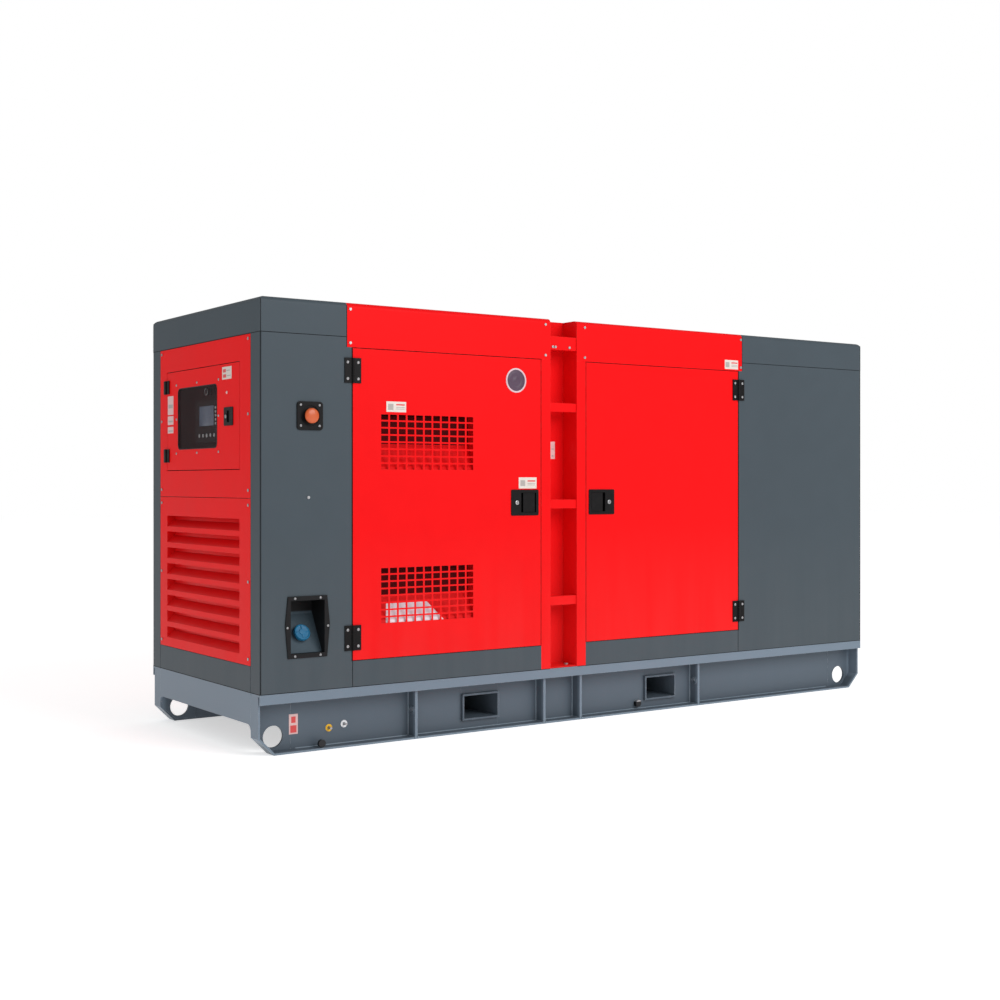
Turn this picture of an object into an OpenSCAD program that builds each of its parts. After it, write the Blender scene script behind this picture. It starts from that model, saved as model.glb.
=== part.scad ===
// Soundproof engine driven generator set: a canopy of steel panels with four hinged doors
// on a skid base with fork pockets and lifting eyes.
// Origin: centre of the footprint on the ground. +X runs from the control end to the radiator
// end, -Y is the side with the emergency stop and the fuel filler, +Z is up. Millimetres.

/* [Overall] */
// Length of the skid base and the canopy
overall_l = 3500; // [3300:10:4300]
// Width of the skid base and the canopy
overall_w = 1150; // [1050:10:1400]
// Height of the skid base
base_h = 250; // [220:5:320]
// Height of the canopy above the base
canopy_h = 1590; // [1500:10:1950]

/* [Canopy panels] */
// Thickness of the canopy sheet
sheet_t = 3; // [2:0.1:4]
// Width of the fixed side panel at the control end
left_panel_w = 414; // [380:1:500]
// Width of each doorway
doorway_w = 967; // [800:1:1000]
// Height of the fixed panel under each door
sill_h = 107; // [80:1:140]
// Height of the panel over each door, up to the top of the roof
header_h = 185; // [160:1:230]
// Overlap of the header onto the side panel beside it
header_lap = 24; // [10:1:30]
// Height of the roof cap's side band
roof_band_h = 143; // [120:1:150]
// Radius of the roof's long edges
roof_r = 22; // [10:1:30]
// Width of the folded leg that turns each side panel round the corner
corner_leg_w = 88; // [80:1:110]
// Outer radius of the folded corner
corner_r = 8; // [5:1:12]
// Gap round each door and each end panel
panel_gap = 3; // [2:0.5:5]

/* [Lifting ladder] */
// Width of each ladder post
post_w = 52; // [40:1:70]
// Clear width of the ladder recess
ladder_w = 150; // [130:1:200]
// Depth of the ladder recess
ladder_depth = 106; // [90:1:130]
// Height of a rung
rung_h = 40; // [30:1:50]
// Height of the first rung's underside above the base
rung_rise = 287; // [250:1:320]
// Distance from one rung to the next
rung_pitch = 441; // [400:1:460]
// Height of the tie plate over the top rung
tie_h = 60; // [40:1:80]

/* [Doors] */
// Depth of the folded door edge
door_depth = 38; // [30:1:45]
// Thickness of the rubber seal between door and frame
seal_t = 6; // [4:1:8]
// Distance from the doorway's top or bottom to the hinge's centre
hinge_inset = 96; // [80:1:140]
// Height of a hinge
hinge_h = 104; // [80:2:120]
// Width of each hinge leaf
hinge_leaf_w = 38; // [30:1:45]
// Radius of a hinge knuckle
knuckle_r = 6; // [5:0.5:8]
// Width of a door latch
latch_w = 150; // [130:1:160]
// Height of a door latch
latch_h = 116; // [100:1:130]
// Distance from the door's free edge to the latch
latch_margin = 14; // [8:1:25]

/* [Air inlet grilles] */
// Columns of slots in a grille
grille_cols = 11; // [7:1:12]
// Rows of slots in a grille
grille_rows = 8; // [5:1:9]
// Width of a slot
slot_w = 34.5; // [25:0.5:36]
// Height of a slot
slot_h = 22.7; // [15:0.1:24]
// Width of the bar between two columns
bar_w = 8.2; // [6:0.1:12]
// Height of the bar between two rows
bar_h = 7; // [5:0.1:10]

/* [Control end] */
// Width of the control door
control_door_w = 780; // [650:5:800]
// Height of the control door
control_door_h = 438; // [380:2:480]
// Height of the split line between the control panel and the louvre panel
split_z = 1032; // [950:2:1060]
// Number of louvres under the control door
louvre_n = 8; // [5:1:9]
// Distance from one louvre to the next
louvre_pitch = 71.5; // [60:0.5:72]

/* [Stop button and fuel filler] */
// Side of the stop button's square bezel
stop_size = 116; // [100:1:130]
// Radius of the stop button's head
stop_head_r = 31; // [24:1:36]
// Width of the filler bezel at its widest
filler_w = 200; // [180:1:210]
// Height of the filler bezel
filler_h = 250; // [230:1:270]
// Radius of the fuel cap
cap_r = 34; // [28:1:38]

/* [Skid base] */
// Thickness of the base plate steel
plate_t = 8; // [6:1:10]
// Depth of the side rail's web behind the canopy's side
web_depth = 76; // [60:1:90]
// Height of the folded lip along the top of the rail
lip_h = 42; // [30:1:50]
// Chamfer at the lower corners of the base
chamfer = 70; // [50:1:80]
// Radius of the lifting eyes
eye_r = 44.5; // [35:0.5:46]
// Distance from the end of the base to a lifting eye
eye_x = 92; // [88:1:110]
// Height of the lifting eyes
eye_z = 66; // [62:1:75]
// Outer width of a fork pocket
pocket_w = 194; // [160:2:220]
// Outer height of a fork pocket
pocket_h = 116; // [90:2:120]
// Height of the raised lower edge of the end beams
end_beam_z = 121; // [100:1:150]

/* [Power train] */
// Height of the crankshaft above the base
crank_rise = 370; // [340:5:420]
// Outer radius of the generator
generator_r = 255; // [220:5:270]
// Length of the generator
generator_l = 650; // [550:10:680]
// Length of the engine block
block_l = 800; // [700:10:830]
// Width of the engine block
block_w = 380; // [320:10:420]
// Radius of the crankshaft
crank_r = 35; // [28:1:42]
// Radius of the cooling fan
fan_r = 300; // [240:10:320]
// Distance from the crankshaft up to the fan
fan_rise = 215; // [190:5:240]

/* [Hidden] */
$fn = 48;

// Clearances
slip = 0.05;        // radial running clearance of a pin or shaft
seat = 0.3;         // gap between a moving piece and the part it rests on
eps = 1;            // how far a cut runs past a face
fit_up = 0.2;       // gap between two plates that are welded together

// Outer faces
end_x = overall_l / 2;
side_y = overall_w / 2;
roof_z = base_h + canopy_h;

// Lines along the length, from the control end
left_door_x0 = -end_x + left_panel_w;
left_door_x1 = left_door_x0 + doorway_w;
ladder_x0 = left_door_x1 + post_w;
ladder_x1 = ladder_x0 + ladder_w;
right_door_x0 = ladder_x1 + post_w;
right_door_x1 = right_door_x0 + doorway_w;

// Lines up the canopy
door_z0 = base_h + sill_h;
door_z1 = roof_z - header_h;
band_z = roof_z - roof_band_h;
door_mid_z = (door_z0 + door_z1) / 2;
frame_y = side_y - door_depth - seal_t;
flange_w = 25;

// Skid base
web_y = side_y - web_depth;
web_in_y = web_y - plate_t;
eye_t = 12;
eye_plate_l = 170;
flange_y = side_y - 18;
rib_t = 12;
rib_x = [728, 1406, 1614, 2345];
lash_z = 122;
lash_r = 13;
lash_depth = 44;
pocket_x = [1095, 2143];
pocket_z = 104;
pocket_proud = 14;
cross_w = 80;
cross_z = max(pocket_z + pocket_h / 2, base_h - 80);
battery_cross_x = 560;
generator_x0 = 620;
generator_mount_x = 780;
rear_mount_x = 1260;
flywheel_x0 = generator_x0 + generator_l;
flywheel_l = 110;
block_x0 = flywheel_x0 + flywheel_l;
block_x1 = block_x0 + block_l;
front_mount_x = block_x1 - 190;
radiator_x0 = block_x1 + 190;
radiator_t = 100;
radiator_cross_x = radiator_x0 + radiator_t / 2;
cross_x = [230, battery_cross_x, generator_mount_x, rear_mount_x, front_mount_x,
  radiator_cross_x, 3000, 3270];

// Power train
crank_z = base_h + crank_rise;
fan_z = crank_z + fan_rise;
mount_y = 330;
mount_r = 40;
mount_h = 60;
foot_t = 15;
sump_h = 110;
block_bottom = crank_z - 170;
block_top = crank_z + 290;
pulley_x = block_x1 + 35;
pulley_w = 30;
crank_pulley_r = 95;
fan_pulley_r = 75;
belt_t = 9;

// Hinges: the axis of the door hinges stands proud of the canopy's side
hinge_t = 5;
axis_y = side_y + knuckle_r + 0.5;
hinge_pin_r = 3;

// Control end
control_y = 12;
red_w = overall_w - 2 * corner_leg_w - 2 * panel_gap;
control_z = split_z + 119 + control_door_h / 2;
window_w = 424;
window_h = 265;
window_y = 61;
control_door_t = 20;
control_knuckle_r = 5;
control_hinge_h = 60;
control_axis_x = end_x + control_knuckle_r + 0.5;
control_axis_y = control_y + control_door_w / 2;
end_proud = 2 * control_knuckle_r + 0.5;
deadfront_x = end_x - 62;

// Stop button and fuel filler, measured from the control end and the ground
stop_x = 218;
stop_z = 1366;
filler_x = 208;
filler_z = 511;
mouth_w = 152;
mouth_h = 214;

function along(d) = d - end_x;          // from the control end to the model's X

module both_sides() { children(); mirror([0, 1, 0]) children(); }
module both_ends() { children(); mirror([1, 0, 0]) children(); }
module block(x0, x1, y0, y1, z0, z1) {
  translate([x0, y0, z0]) cube([x1 - x0, y1 - y0, z1 - z0]);
}
// A cylinder along X or Y that starts at a point
module rod_x(x0, x1, y, z, r) { translate([x0, y, z]) rotate([0, 90, 0]) cylinder(r = r, h = x1 - x0); }
module rod_y(x, y0, y1, z, r) { translate([x, y0, z]) rotate([-90, 0, 0]) cylinder(r = r, h = y1 - y0); }
// A rectangle with round corners, centred
module round_rect(w, h, r) {
  square([w - 2 * r, h], center = true);
  square([w, h - 2 * r], center = true);
  for (sx = [-1, 1], sz = [-1, 1]) translate([sx * (w / 2 - r), sz * (h / 2 - r)]) circle(r = r);
}
// A plate in the XZ plane whose outer face is at -y_out, drawn as seen from -Y
module side_plate(y_out, t) { translate([0, t - y_out, 0]) rotate([90, 0, 0]) linear_extrude(t) children(); }
// A plate in the YZ plane at the control end: the 2D X runs along Y
module end_plate(x_out, t) {
  translate([-x_out, 0, 0]) rotate([90, 0, 90]) linear_extrude(t) children();
}

// ---------- Skid base ----------

// Lower corner of the base, as an outline in the XZ plane from the control end, shrunk by d
module base_outline(d, x1) {
  k = d * (sqrt(2) - 1);
  polygon([[-end_x + d, base_h - d], [-end_x + d, chamfer + k], [-end_x + chamfer + k, d],
    [x1, d], [x1, base_h - d]]);
}

// Welded plates stand fit_up apart, so that each stays a piece of its own
module side_rail() {
  color([0.42, 0.47, 0.52]) difference() {
    z0 = plate_t + fit_up;
    z1 = base_h - plate_t - fit_up;
    fold = chamfer + plate_t * (sqrt(2) - 1);
    edges = [-end_x + eye_plate_l, along(pocket_x[0]) - pocket_w / 2,
      along(pocket_x[0]) + pocket_w / 2, along(pocket_x[1]) - pocket_w / 2,
      along(pocket_x[1]) + pocket_w / 2, end_x - eye_plate_l];
    union() {
      // top flange, lip and lower flange
      block(-end_x, end_x, -side_y, -web_in_y, base_h - plate_t, base_h);
      block(-end_x, end_x, -side_y, plate_t - side_y, base_h - lip_h, z1);
      block(-end_x + fold, end_x - fold, -flange_y, -web_in_y, 0, plate_t);
      // web, parted round the fork pockets
      for (i = [0:2:4]) block(edges[i] + fit_up, edges[i + 1] - fit_up, -web_y, -web_in_y, z0, z1);
      for (i = [1, 3]) {
        block(edges[i], edges[i + 1], -web_y, -web_in_y, pocket_z + pocket_h / 2 + fit_up, z1);
        block(edges[i], edges[i + 1], -web_y, -web_in_y, z0, pocket_z - pocket_h / 2 - fit_up);
      }
      // end plates and the chamfer plates under them
      both_ends() side_plate(flange_y, flange_y - web_y + eye_t) {
        translate([-end_x, fold]) square([plate_t, z1 - fold]);
        translate([-end_x, 0]) polygon([[0, chamfer], [0, fold - fit_up], [plate_t, fold - fit_up],
          [fold - fit_up, plate_t], [fold - fit_up, 0], [chamfer, 0]]);
      }
      for (x = rib_x) block(along(x), along(x) + rib_t, -flange_y, -web_y - fit_up, z0, z1);
      for (x = [rib_x[0], rib_x[3]])
        rod_x(along(x) - 3, along(x) + rib_t + 3, lash_depth - side_y, lash_z, lash_r + 7);
    }
    for (x = [rib_x[0], rib_x[3]])
      rod_x(along(x) - 3 - eps, along(x) + rib_t + 3 + eps, lash_depth - side_y, lash_z, lash_r);
  }
}
module side_rails() both_sides() side_rail();

module end_beams() color([0.42, 0.47, 0.52]) both_ends() {
  in_y = web_y - eye_t;
  r = 30;
  end_plate(end_x, plate_t) difference() {
    translate([-in_y, end_beam_z - r]) square([2 * in_y, base_h - end_beam_z + r]);
    difference() {
      translate([-in_y, end_beam_z - r - eps]) square([2 * in_y, r + eps]);
      for (s = [-1, 1]) difference() {
        translate([s * (in_y - r / 2) - r / 2, end_beam_z - r]) square(r);
        translate([s * (in_y - r), end_beam_z - r]) circle(r = r);
      }
    }
  }
  block(-end_x + plate_t, -end_x + 70, -in_y, in_y, base_h - plate_t, base_h);
  block(-end_x + plate_t, -end_x + 50, -in_y, in_y, end_beam_z, end_beam_z + plate_t);
}

module lifting_eyes() color([0.42, 0.47, 0.52]) both_ends() both_sides() difference() {
  side_plate(web_y, eye_t) base_outline(plate_t, -end_x + eye_plate_l);
  rod_y(-end_x + eye_x, -web_y - eps, -web_y + eye_t + eps, eye_z, eye_r);
}

module cross_members() color([0.36, 0.40, 0.45]) for (x = cross_x)
  difference() {
    block(along(x) - cross_w / 2, along(x) + cross_w / 2, -web_in_y, web_in_y, cross_z, base_h);
    block(along(x) - cross_w / 2 + 6, along(x) + cross_w / 2 - 6, -web_in_y - eps, web_in_y + eps,
      cross_z - eps, base_h - 6);
  }

module fork_pockets() color([0.40, 0.45, 0.50]) for (x = pocket_x) {
  y = web_y + pocket_proud;
  for (s = [-1, 1]) {
    translate([along(x), 0, pocket_z + s * (pocket_h - plate_t) / 2])
      cube([pocket_w, 2 * y, plate_t], center = true);
    translate([along(x) + s * (pocket_w - plate_t) / 2, 0, pocket_z])
      cube([plate_t, 2 * y, pocket_h - 2 * plate_t - 2 * fit_up], center = true);
  }
}

tank_x0 = along(pocket_x[0]) + pocket_w / 2 + 30;
tank_x1 = along(pocket_x[1]) - pocket_w / 2 - 30;
tank_y = web_in_y - 15;
module fuel_tank() color([0.15, 0.16, 0.17]) difference() {
  union() {
    block(tank_x0, tank_x1, -tank_y, tank_y, 22, cross_z);
    translate([tank_x0 + 130, -tank_y + 60, cross_z]) cylinder(r = 30, h = 20);
  }
  block(tank_x0 + 4, tank_x1 - 4, 4 - tank_y, tank_y - 4, 26, cross_z - 4);
  translate([tank_x0 + 130, -tank_y + 60, cross_z - 10]) cylinder(r = 25, h = 40);
}

// ---------- Canopy ----------

// Cross-section of a side panel folded round the corner, seen from above
module folded_corner(x1) {
  r = corner_r;
  translate([-end_x + r, -side_y]) square([x1 + end_x - r, sheet_t]);
  translate([-end_x, -side_y + r]) square([sheet_t, corner_leg_w - r]);
  intersection() {
    translate([-end_x, -side_y]) square(r);
    translate([-end_x + r, -side_y + r]) difference() { circle(r = r); circle(r = r - sheet_t); }
  }
}
// One side panel at the control end; x1 is the doorway's edge
module corner_panel(x1) difference() {
  union() {
    translate([0, 0, base_h]) linear_extrude(band_z - base_h) folded_corner(x1);
    // folded edge towards the doorway, with the flange that the seal bears on
    block(x1 - sheet_t, x1, -side_y + sheet_t, -frame_y + sheet_t, base_h, band_z);
    block(x1, x1 + flange_w, -frame_y, -frame_y + sheet_t, door_z0, door_z1);
  }
  translate([x1 - header_lap, -side_y - eps, door_z1]) cube([header_lap + eps, sheet_t + eps, canopy_h]);
}

filler_side = 0.44;     // half width of the filler bezel's top edge, as a share of its width
module filler_outline(grow) {
  w = filler_w + 2 * grow;
  h = filler_h + 2 * grow;
  polygon([[-filler_side * w, h / 2], [filler_side * w, h / 2], [w / 2, 0.04 * h],
    [filler_side * w, -h / 2], [-filler_side * w, -h / 2], [-w / 2, 0.04 * h]]);
}
module front_left_panel() color([0.30, 0.34, 0.37]) difference() {
  corner_panel(left_door_x0);
  rod_y(along(stop_x), -side_y - eps, -side_y + 10, stop_z, 35);
  translate([along(filler_x), 0, filler_z]) side_plate(side_y + eps, 10)
    square([mouth_w + 8, mouth_h + 8], center = true);
}
module side_panels() color([0.30, 0.34, 0.37]) {
  mirror([0, 1, 0]) corner_panel(left_door_x0);
  both_sides() mirror([1, 0, 0]) corner_panel(-right_door_x1);
}

post_in_y = 120;
module corner_posts() color([0.25, 0.28, 0.31]) both_ends() both_sides() difference() {
  block(-end_x + sheet_t, -end_x + 43, -side_y + sheet_t + 6, -side_y + post_in_y, base_h,
    band_z - 1);
  block(-end_x + sheet_t + 3, -end_x + 40, -side_y + sheet_t + 9, -side_y + post_in_y - 3,
    base_h - eps, band_z - 4);
}

// Header over a doorway: a face with a rounded top edge, a return, and the seal's flange
module header(x0, x1, door_x0, door_x1) {
  r = roof_r;
  translate([x0, 0, 0]) rotate([90, 0, 90]) linear_extrude(x1 - x0) {
    translate([-side_y, door_z1]) square([sheet_t, header_h - r]);
    translate([-side_y + r, roof_z - sheet_t]) square([40, sheet_t]);
    intersection() {
      translate([-side_y, roof_z - r]) square(r);
      translate([-side_y + r, roof_z - r]) difference() { circle(r = r); circle(r = r - sheet_t); }
    }
  }
  block(door_x0, door_x1, -side_y + sheet_t, -frame_y + sheet_t, door_z1, door_z1 + sheet_t);
  block(door_x0 + flange_w, door_x1 - flange_w, -frame_y, -frame_y + sheet_t,
    door_z1 - flange_w, door_z1);
}
module door_headers() color([0.85, 0.10, 0.10]) both_sides() {
  header(left_door_x0 - header_lap, ladder_x0, left_door_x0, left_door_x1);
  header(ladder_x1, right_door_x1 + header_lap, right_door_x0, right_door_x1);
}

module sill(x0, x1) {
  block(x0, x1, -side_y, -side_y + sheet_t, base_h, door_z0);
  block(x0, x1, -side_y + sheet_t, -frame_y + sheet_t, door_z0 - sheet_t, door_z0);
  block(x0 + flange_w, x1 - flange_w, -frame_y, -frame_y + sheet_t, door_z0, door_z0 + flange_w);
}
module lower_panels() color([0.30, 0.34, 0.37]) {
  both_sides() {
    sill(left_door_x0, left_door_x1);
    sill(right_door_x0, right_door_x1);
  }
  both_ends() block(-end_x, -end_x + sheet_t, -red_w / 2, red_w / 2, base_h, door_z0 - 2);
}

// door_side is -1 where the door is on the post's -X side, 1 where it is on its +X side
module ladder_post(x0, door_side) {
  back_y = -side_y + ladder_depth + sheet_t;
  difference() {
    block(x0, x0 + post_w, -side_y, back_y, base_h, roof_z - roof_r);
    block(x0 + sheet_t, x0 + post_w - sheet_t, -side_y + sheet_t, back_y - sheet_t,
      base_h - eps, roof_z);
    block(x0 - eps, x0 + post_w + eps, -side_y - eps, -side_y + sheet_t, door_z1, roof_z);
  }
  flange_x = door_side < 0 ? x0 - flange_w : x0 + post_w + fit_up;
  block(flange_x, flange_x + flange_w - fit_up, -frame_y, -frame_y + sheet_t, door_z0, door_z1);
}
module ladder_channels() color([0.80, 0.09, 0.09]) both_sides() {
  ladder_post(left_door_x1, -1);
  ladder_post(ladder_x1, 1);
  block(ladder_x0 + fit_up, ladder_x1 - fit_up, -side_y + ladder_depth,
    -side_y + ladder_depth + sheet_t, base_h, roof_z - roof_r);
}

rung_d = 34;
rung_inset = 5;
tie_z = band_z + 5;
module ladder_rungs() color([0.85, 0.10, 0.10]) both_sides() {
  for (i = [0:2]) translate([ladder_x0, -side_y + rung_inset, base_h + rung_rise + i * rung_pitch])
    difference() {
      cube([ladder_w, rung_d, rung_h]);
      translate([-eps, sheet_t, -eps]) cube([ladder_w + 2 * eps, rung_d, rung_h - sheet_t + eps]);
    }
  block(ladder_x0, ladder_x1, -side_y + rung_inset, -side_y + rung_inset + rung_d, tie_z,
    tie_z + tie_h);
  block(ladder_x0, ladder_x1, -side_y + rung_inset, -side_y + ladder_depth, base_h, base_h + 6);
}

// Solid of the roof, rounded along its sides and at its ends, shrunk by d
module roof_solid(x0, x1, d) intersection() {
  r = roof_r - d;
  translate([x0, 0, 0]) rotate([90, 0, 90]) linear_extrude(x1 - x0) {
    translate([-side_y + d, band_z - (d > 0 ? eps : 0)])
      square([2 * (side_y - d), roof_band_h - roof_r + (d > 0 ? eps : 0)]);
    translate([-side_y + roof_r, band_z]) square([2 * (side_y - roof_r), roof_band_h - d]);
    for (s = [-1, 1]) translate([s * (side_y - roof_r), roof_z - roof_r]) circle(r = r);
  }
  translate([0, side_y, 0]) rotate([90, 0, 0]) linear_extrude(overall_w) {
    translate([-end_x + d, band_z - eps]) square([end_x, roof_band_h - roof_r + eps]);
    translate([-end_x + roof_r, band_z - eps]) square([end_x, roof_band_h - d + eps]);
    translate([-end_x + roof_r, roof_z - roof_r]) circle(r = r);
  }
}
outlet_x = right_door_x1 + 330;
outlet_r = 50;
module roof_caps() color([0.30, 0.34, 0.37]) {
  difference() {
    roof_solid(-end_x, left_door_x0 - header_lap, 0);
    roof_solid(-end_x - eps, left_door_x0 - header_lap + eps, sheet_t);
  }
  difference() {
    mirror([1, 0, 0]) difference() {
      roof_solid(-end_x, -right_door_x1 - header_lap, 0);
      roof_solid(-end_x - eps, -right_door_x1 - header_lap + eps, sheet_t);
    }
    translate([outlet_x, 0, roof_z - 20]) cylinder(r = outlet_r + 6, h = 40);
  }
}
module roof_centre() color([0.85, 0.10, 0.10]) difference() {
  y = side_y - roof_r - 40;
  union() {
    block(left_door_x0 - header_lap, right_door_x1 + header_lap, -y, y, roof_z - sheet_t, roof_z);
    both_sides() block(ladder_x0, ladder_x1, -side_y + ladder_depth, -y, roof_z - sheet_t, roof_z);
    for (x = [left_door_x0 + 200, right_door_x1 - 200])
      block(x, x + 30, -y, y, roof_z - 40, roof_z - sheet_t);
    both_sides() block(ladder_x0, ladder_x1, -side_y + ladder_depth,
      -side_y + ladder_depth + sheet_t, roof_z - roof_r, roof_z - sheet_t);
  }
  both_sides() block(ladder_x0, ladder_x1, -side_y, -side_y + ladder_depth, roof_z - 50, roof_z + eps);
}

// ---------- End panels ----------

louvre_w = 782;
louvre_top = split_z - 85;
module control_panel() color([0.85, 0.10, 0.10]) end_plate(end_x, sheet_t) difference() {
  translate([-red_w / 2, split_z + 1]) square([red_w, band_z - split_z - 3]);
  translate([control_y, control_z]) square([control_door_w + 2 * panel_gap,
    control_door_h + 2 * panel_gap], center = true);
}
// A field of louvres: slots in the plate with a slanted blade in each, between side cheeks
module louvre_field(n, top, plate_z0, plate_z1) {
  y0 = control_y - louvre_w / 2;
  y1 = control_y + louvre_w / 2;
  blade = 2.5;
  slot = louvre_pitch - 20;
  end_plate(end_x, sheet_t) difference() {
    translate([-red_w / 2, plate_z0]) square([red_w, plate_z1 - plate_z0]);
    for (i = [0:n - 1]) translate([y0, top - i * louvre_pitch - slot]) square([louvre_w, slot]);
  }
  for (y = [y0 - 2, y1]) block(-end_x + sheet_t, -end_x + 40, y, y + 2,
    top - n * louvre_pitch, top + 10);
  for (i = [0:n - 1]) translate([0, y1, 0]) rotate([90, 0, 0]) linear_extrude(y1 - y0) {
    z = top - i * louvre_pitch - slot;
    polygon([[-end_x, z], [-end_x, z + blade], [-end_x + 34, z + 30 + blade],
      [-end_x + 34, z + 30], [-end_x + sheet_t, z]]);
  }
}
module louvre_panel() color([0.85, 0.10, 0.10])
  louvre_field(louvre_n, louvre_top, door_z0, split_z - 1);
module right_end_panel() color([0.30, 0.34, 0.37]) mirror([1, 0, 0]) {
  n = floor((band_z - door_z0 - 160) / louvre_pitch);
  louvre_field(n, band_z - 80, door_z0, band_z - 2);
  // drip rail over the air outlet
  block(-end_x - end_proud, -end_x, control_y - louvre_w / 2 - 20, control_y + louvre_w / 2 + 20,
    band_z - 60, band_z - 56);
}

// ---------- Doors ----------

// Everything on a door is drawn for the front left door: hinged at x = 0, free edge at doorway_w,
// with the doorway's lower left corner at the origin and the outer face at y = 0.
// Each door's own frame is moved to its doorway by at_door.
module at_door(front, left) {
  mirror([0, front ? 0 : 1, 0]) translate([left ? left_door_x0 : right_door_x1, -side_y, door_z0])
    mirror([left ? 0 : 1, 0, 0]) children();
}
door_h = door_z1 - door_z0;
skin_t = 2;
latch_x = doorway_w - panel_gap - latch_margin - latch_w / 2;
latch_z = door_h / 2;
grille_x = 137;
grille_low_z = 149;
grille_high_z = door_h - 504;
module grille_slots() for (i = [0:grille_cols - 1], j = [0:grille_rows - 1])
  translate([i * (slot_w + bar_w), j * (slot_h + bar_h)]) square([slot_w, slot_h]);
module door_shell(grilles) difference() {
  g = panel_gap;
  union() {
    translate([0, skin_t, 0]) rotate([90, 0, 0]) linear_extrude(skin_t) difference() {
      translate([g, g]) square([doorway_w - 2 * g, door_h - 2 * g]);
      translate([latch_x, latch_z]) square([latch_w - 20, latch_h - 20], center = true);
      if (grilles) for (z = [grille_low_z, grille_high_z]) translate([grille_x, z]) grille_slots();
    }
    difference() {
      block(g, doorway_w - g, skin_t, door_depth, g, door_h - g);
      block(g + skin_t, doorway_w - g - skin_t, 0, door_depth + eps, g + skin_t, door_h - g - skin_t);
    }
    // folded lips round the inner face
    for (z = [g + skin_t, door_h - g - skin_t - 18])
      block(g + skin_t, doorway_w - g - skin_t, door_depth - skin_t, door_depth, z, z + 18);
    for (x = [g + skin_t, doorway_w - g - skin_t - 18])
      block(x, x + 18, door_depth - skin_t, door_depth, g + skin_t + 18, door_h - g - skin_t - 18);
  }
}
module front_left_door() color([0.90, 0.11, 0.10]) at_door(true, true) door_shell(true);
module front_right_door() color([0.90, 0.11, 0.10]) at_door(true, false) door_shell(false);
module rear_left_door() color([0.90, 0.11, 0.10]) at_door(false, true) door_shell(true);
module rear_right_door() color([0.90, 0.11, 0.10]) at_door(false, false) door_shell(false);

// Hinge in its own frame: pin axis along Z through the origin, leaf faces at y = back.
// The door side is +X.
module hinge_leaf(h, leaf_w, r, back, part) {
  third = h / 3;
  side = part == "door" ? 1 : -1;
  zs = part == "door" ? [third + seat] : [0, 2 * third];
  zl = part == "door" ? third - 2 * seat : third;
  difference() {
    union() {
      translate([side > 0 ? 1 : -leaf_w, back - hinge_t, 0]) cube([leaf_w - 1, hinge_t, h]);
      for (z = zs) translate([0, 0, z]) {
        cylinder(r = r, h = zl);
        translate([side > 0 ? 0 : -r - 1, back - hinge_t, 0]) cube([r + 1, hinge_t, zl]);
      }
    }
    // room for the other leaf's knuckles
    if (part == "door") for (z = [-eps, 2 * third - seat]) translate([0, 0, z])
      cylinder(r = r + 0.6, h = third + seat + eps);
    else translate([0, 0, third]) cylinder(r = r + 0.6, h = third);
    if (part == "door") translate([0, 0, -eps]) cylinder(r = hinge_pin_r + slip, h = h + 2 * eps);
  }
  if (part == "fixed") translate([0, 0, third - 1]) cylinder(r = hinge_pin_r, h = third + 2);
}
hinge_z = [hinge_inset - hinge_h / 2, door_h - hinge_inset - hinge_h / 2];
module door_hinges(part) for (z = hinge_z) translate([panel_gap / 2, -knuckle_r - 0.5, z])
  hinge_leaf(hinge_h, hinge_leaf_w, knuckle_r, knuckle_r + 0.5, part);
module at_control_door() {
  translate([-control_axis_x, control_axis_y + panel_gap / 2, control_z]) rotate([0, 0, -90]) children();
}
control_hinge_z = [-control_door_h / 2 + 35, control_door_h / 2 - 35 - control_hinge_h];
module control_hinges(part) at_control_door() for (z = control_hinge_z) translate([0, 0, z])
  hinge_leaf(control_hinge_h, 30, control_knuckle_r, control_knuckle_r + 0.5, part);
module fixed_hinges() color([0.06, 0.06, 0.07]) {
  for (front = [true, false], left = [true, false]) at_door(front, left) door_hinges("fixed");
  control_hinges("fixed");
}

// Paddle latch in its own frame: centred, outer face of the door at y = 0, outside is -Y.
// The lock barrel is on the -X part, the paddle on the +X part, pivoted at its +X edge.
latch_wall = 12;
dish_depth = 24;
pivot_r = 3;
paddle_t = 4;
finger_gap = 13;
lock_part = 0.36;       // width of the part that holds the lock, as a share of the latch
module latch_case(w, h) {
  lock_w = lock_part * w;
  difference() {
    union() {
      side_plate(3, 3) round_rect(w, h, 6);
      block(-w / 2 + 11, w / 2 - 11, 0, dish_depth + 3, -h / 2 + 11, h / 2 - 11);
    }
    block(-w / 2 + lock_w, w / 2 - latch_wall - 2, -3 - eps, dish_depth, -h / 2 + latch_wall + 2,
      h / 2 - latch_wall - 2);
    translate([w / 2 - latch_wall - 9, 5, -h / 2 + latch_wall - 4])
      cylinder(r = pivot_r + slip, h = h - 2 * latch_wall + 8);
    rod_y(-w / 2 + lock_w / 2 + 4, -4, 12, 0, 12);
  }
  rod_y(-w / 2 + lock_w / 2 + 4, -1, 12, 0, 9);
}
module latch_paddle(w, h) {
  ph = h - 2 * latch_wall - 6;
  px = w / 2 - latch_wall - 9;
  pw = px + w / 2 - lock_part * w - finger_gap;
  block(px - pw, px, 0, paddle_t, -ph / 2, ph / 2);
  block(px - pw, px - pw + 3, paddle_t, paddle_t + 6, -ph / 2, ph / 2);
  translate([px, 5, -ph / 2]) cylinder(r = 5, h = ph);
  translate([px, 5, -ph / 2 - 4]) cylinder(r = pivot_r, h = ph + 8);
}
module at_latch() translate([latch_x, 0, latch_z]) children();
module door_hardware() {
  door_hinges("door");
  at_latch() latch_case(latch_w, latch_h);
}
module front_left_hardware() color([0.06, 0.06, 0.07]) at_door(true, true) door_hardware();
module front_right_hardware() color([0.06, 0.06, 0.07]) at_door(true, false) door_hardware();
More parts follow.
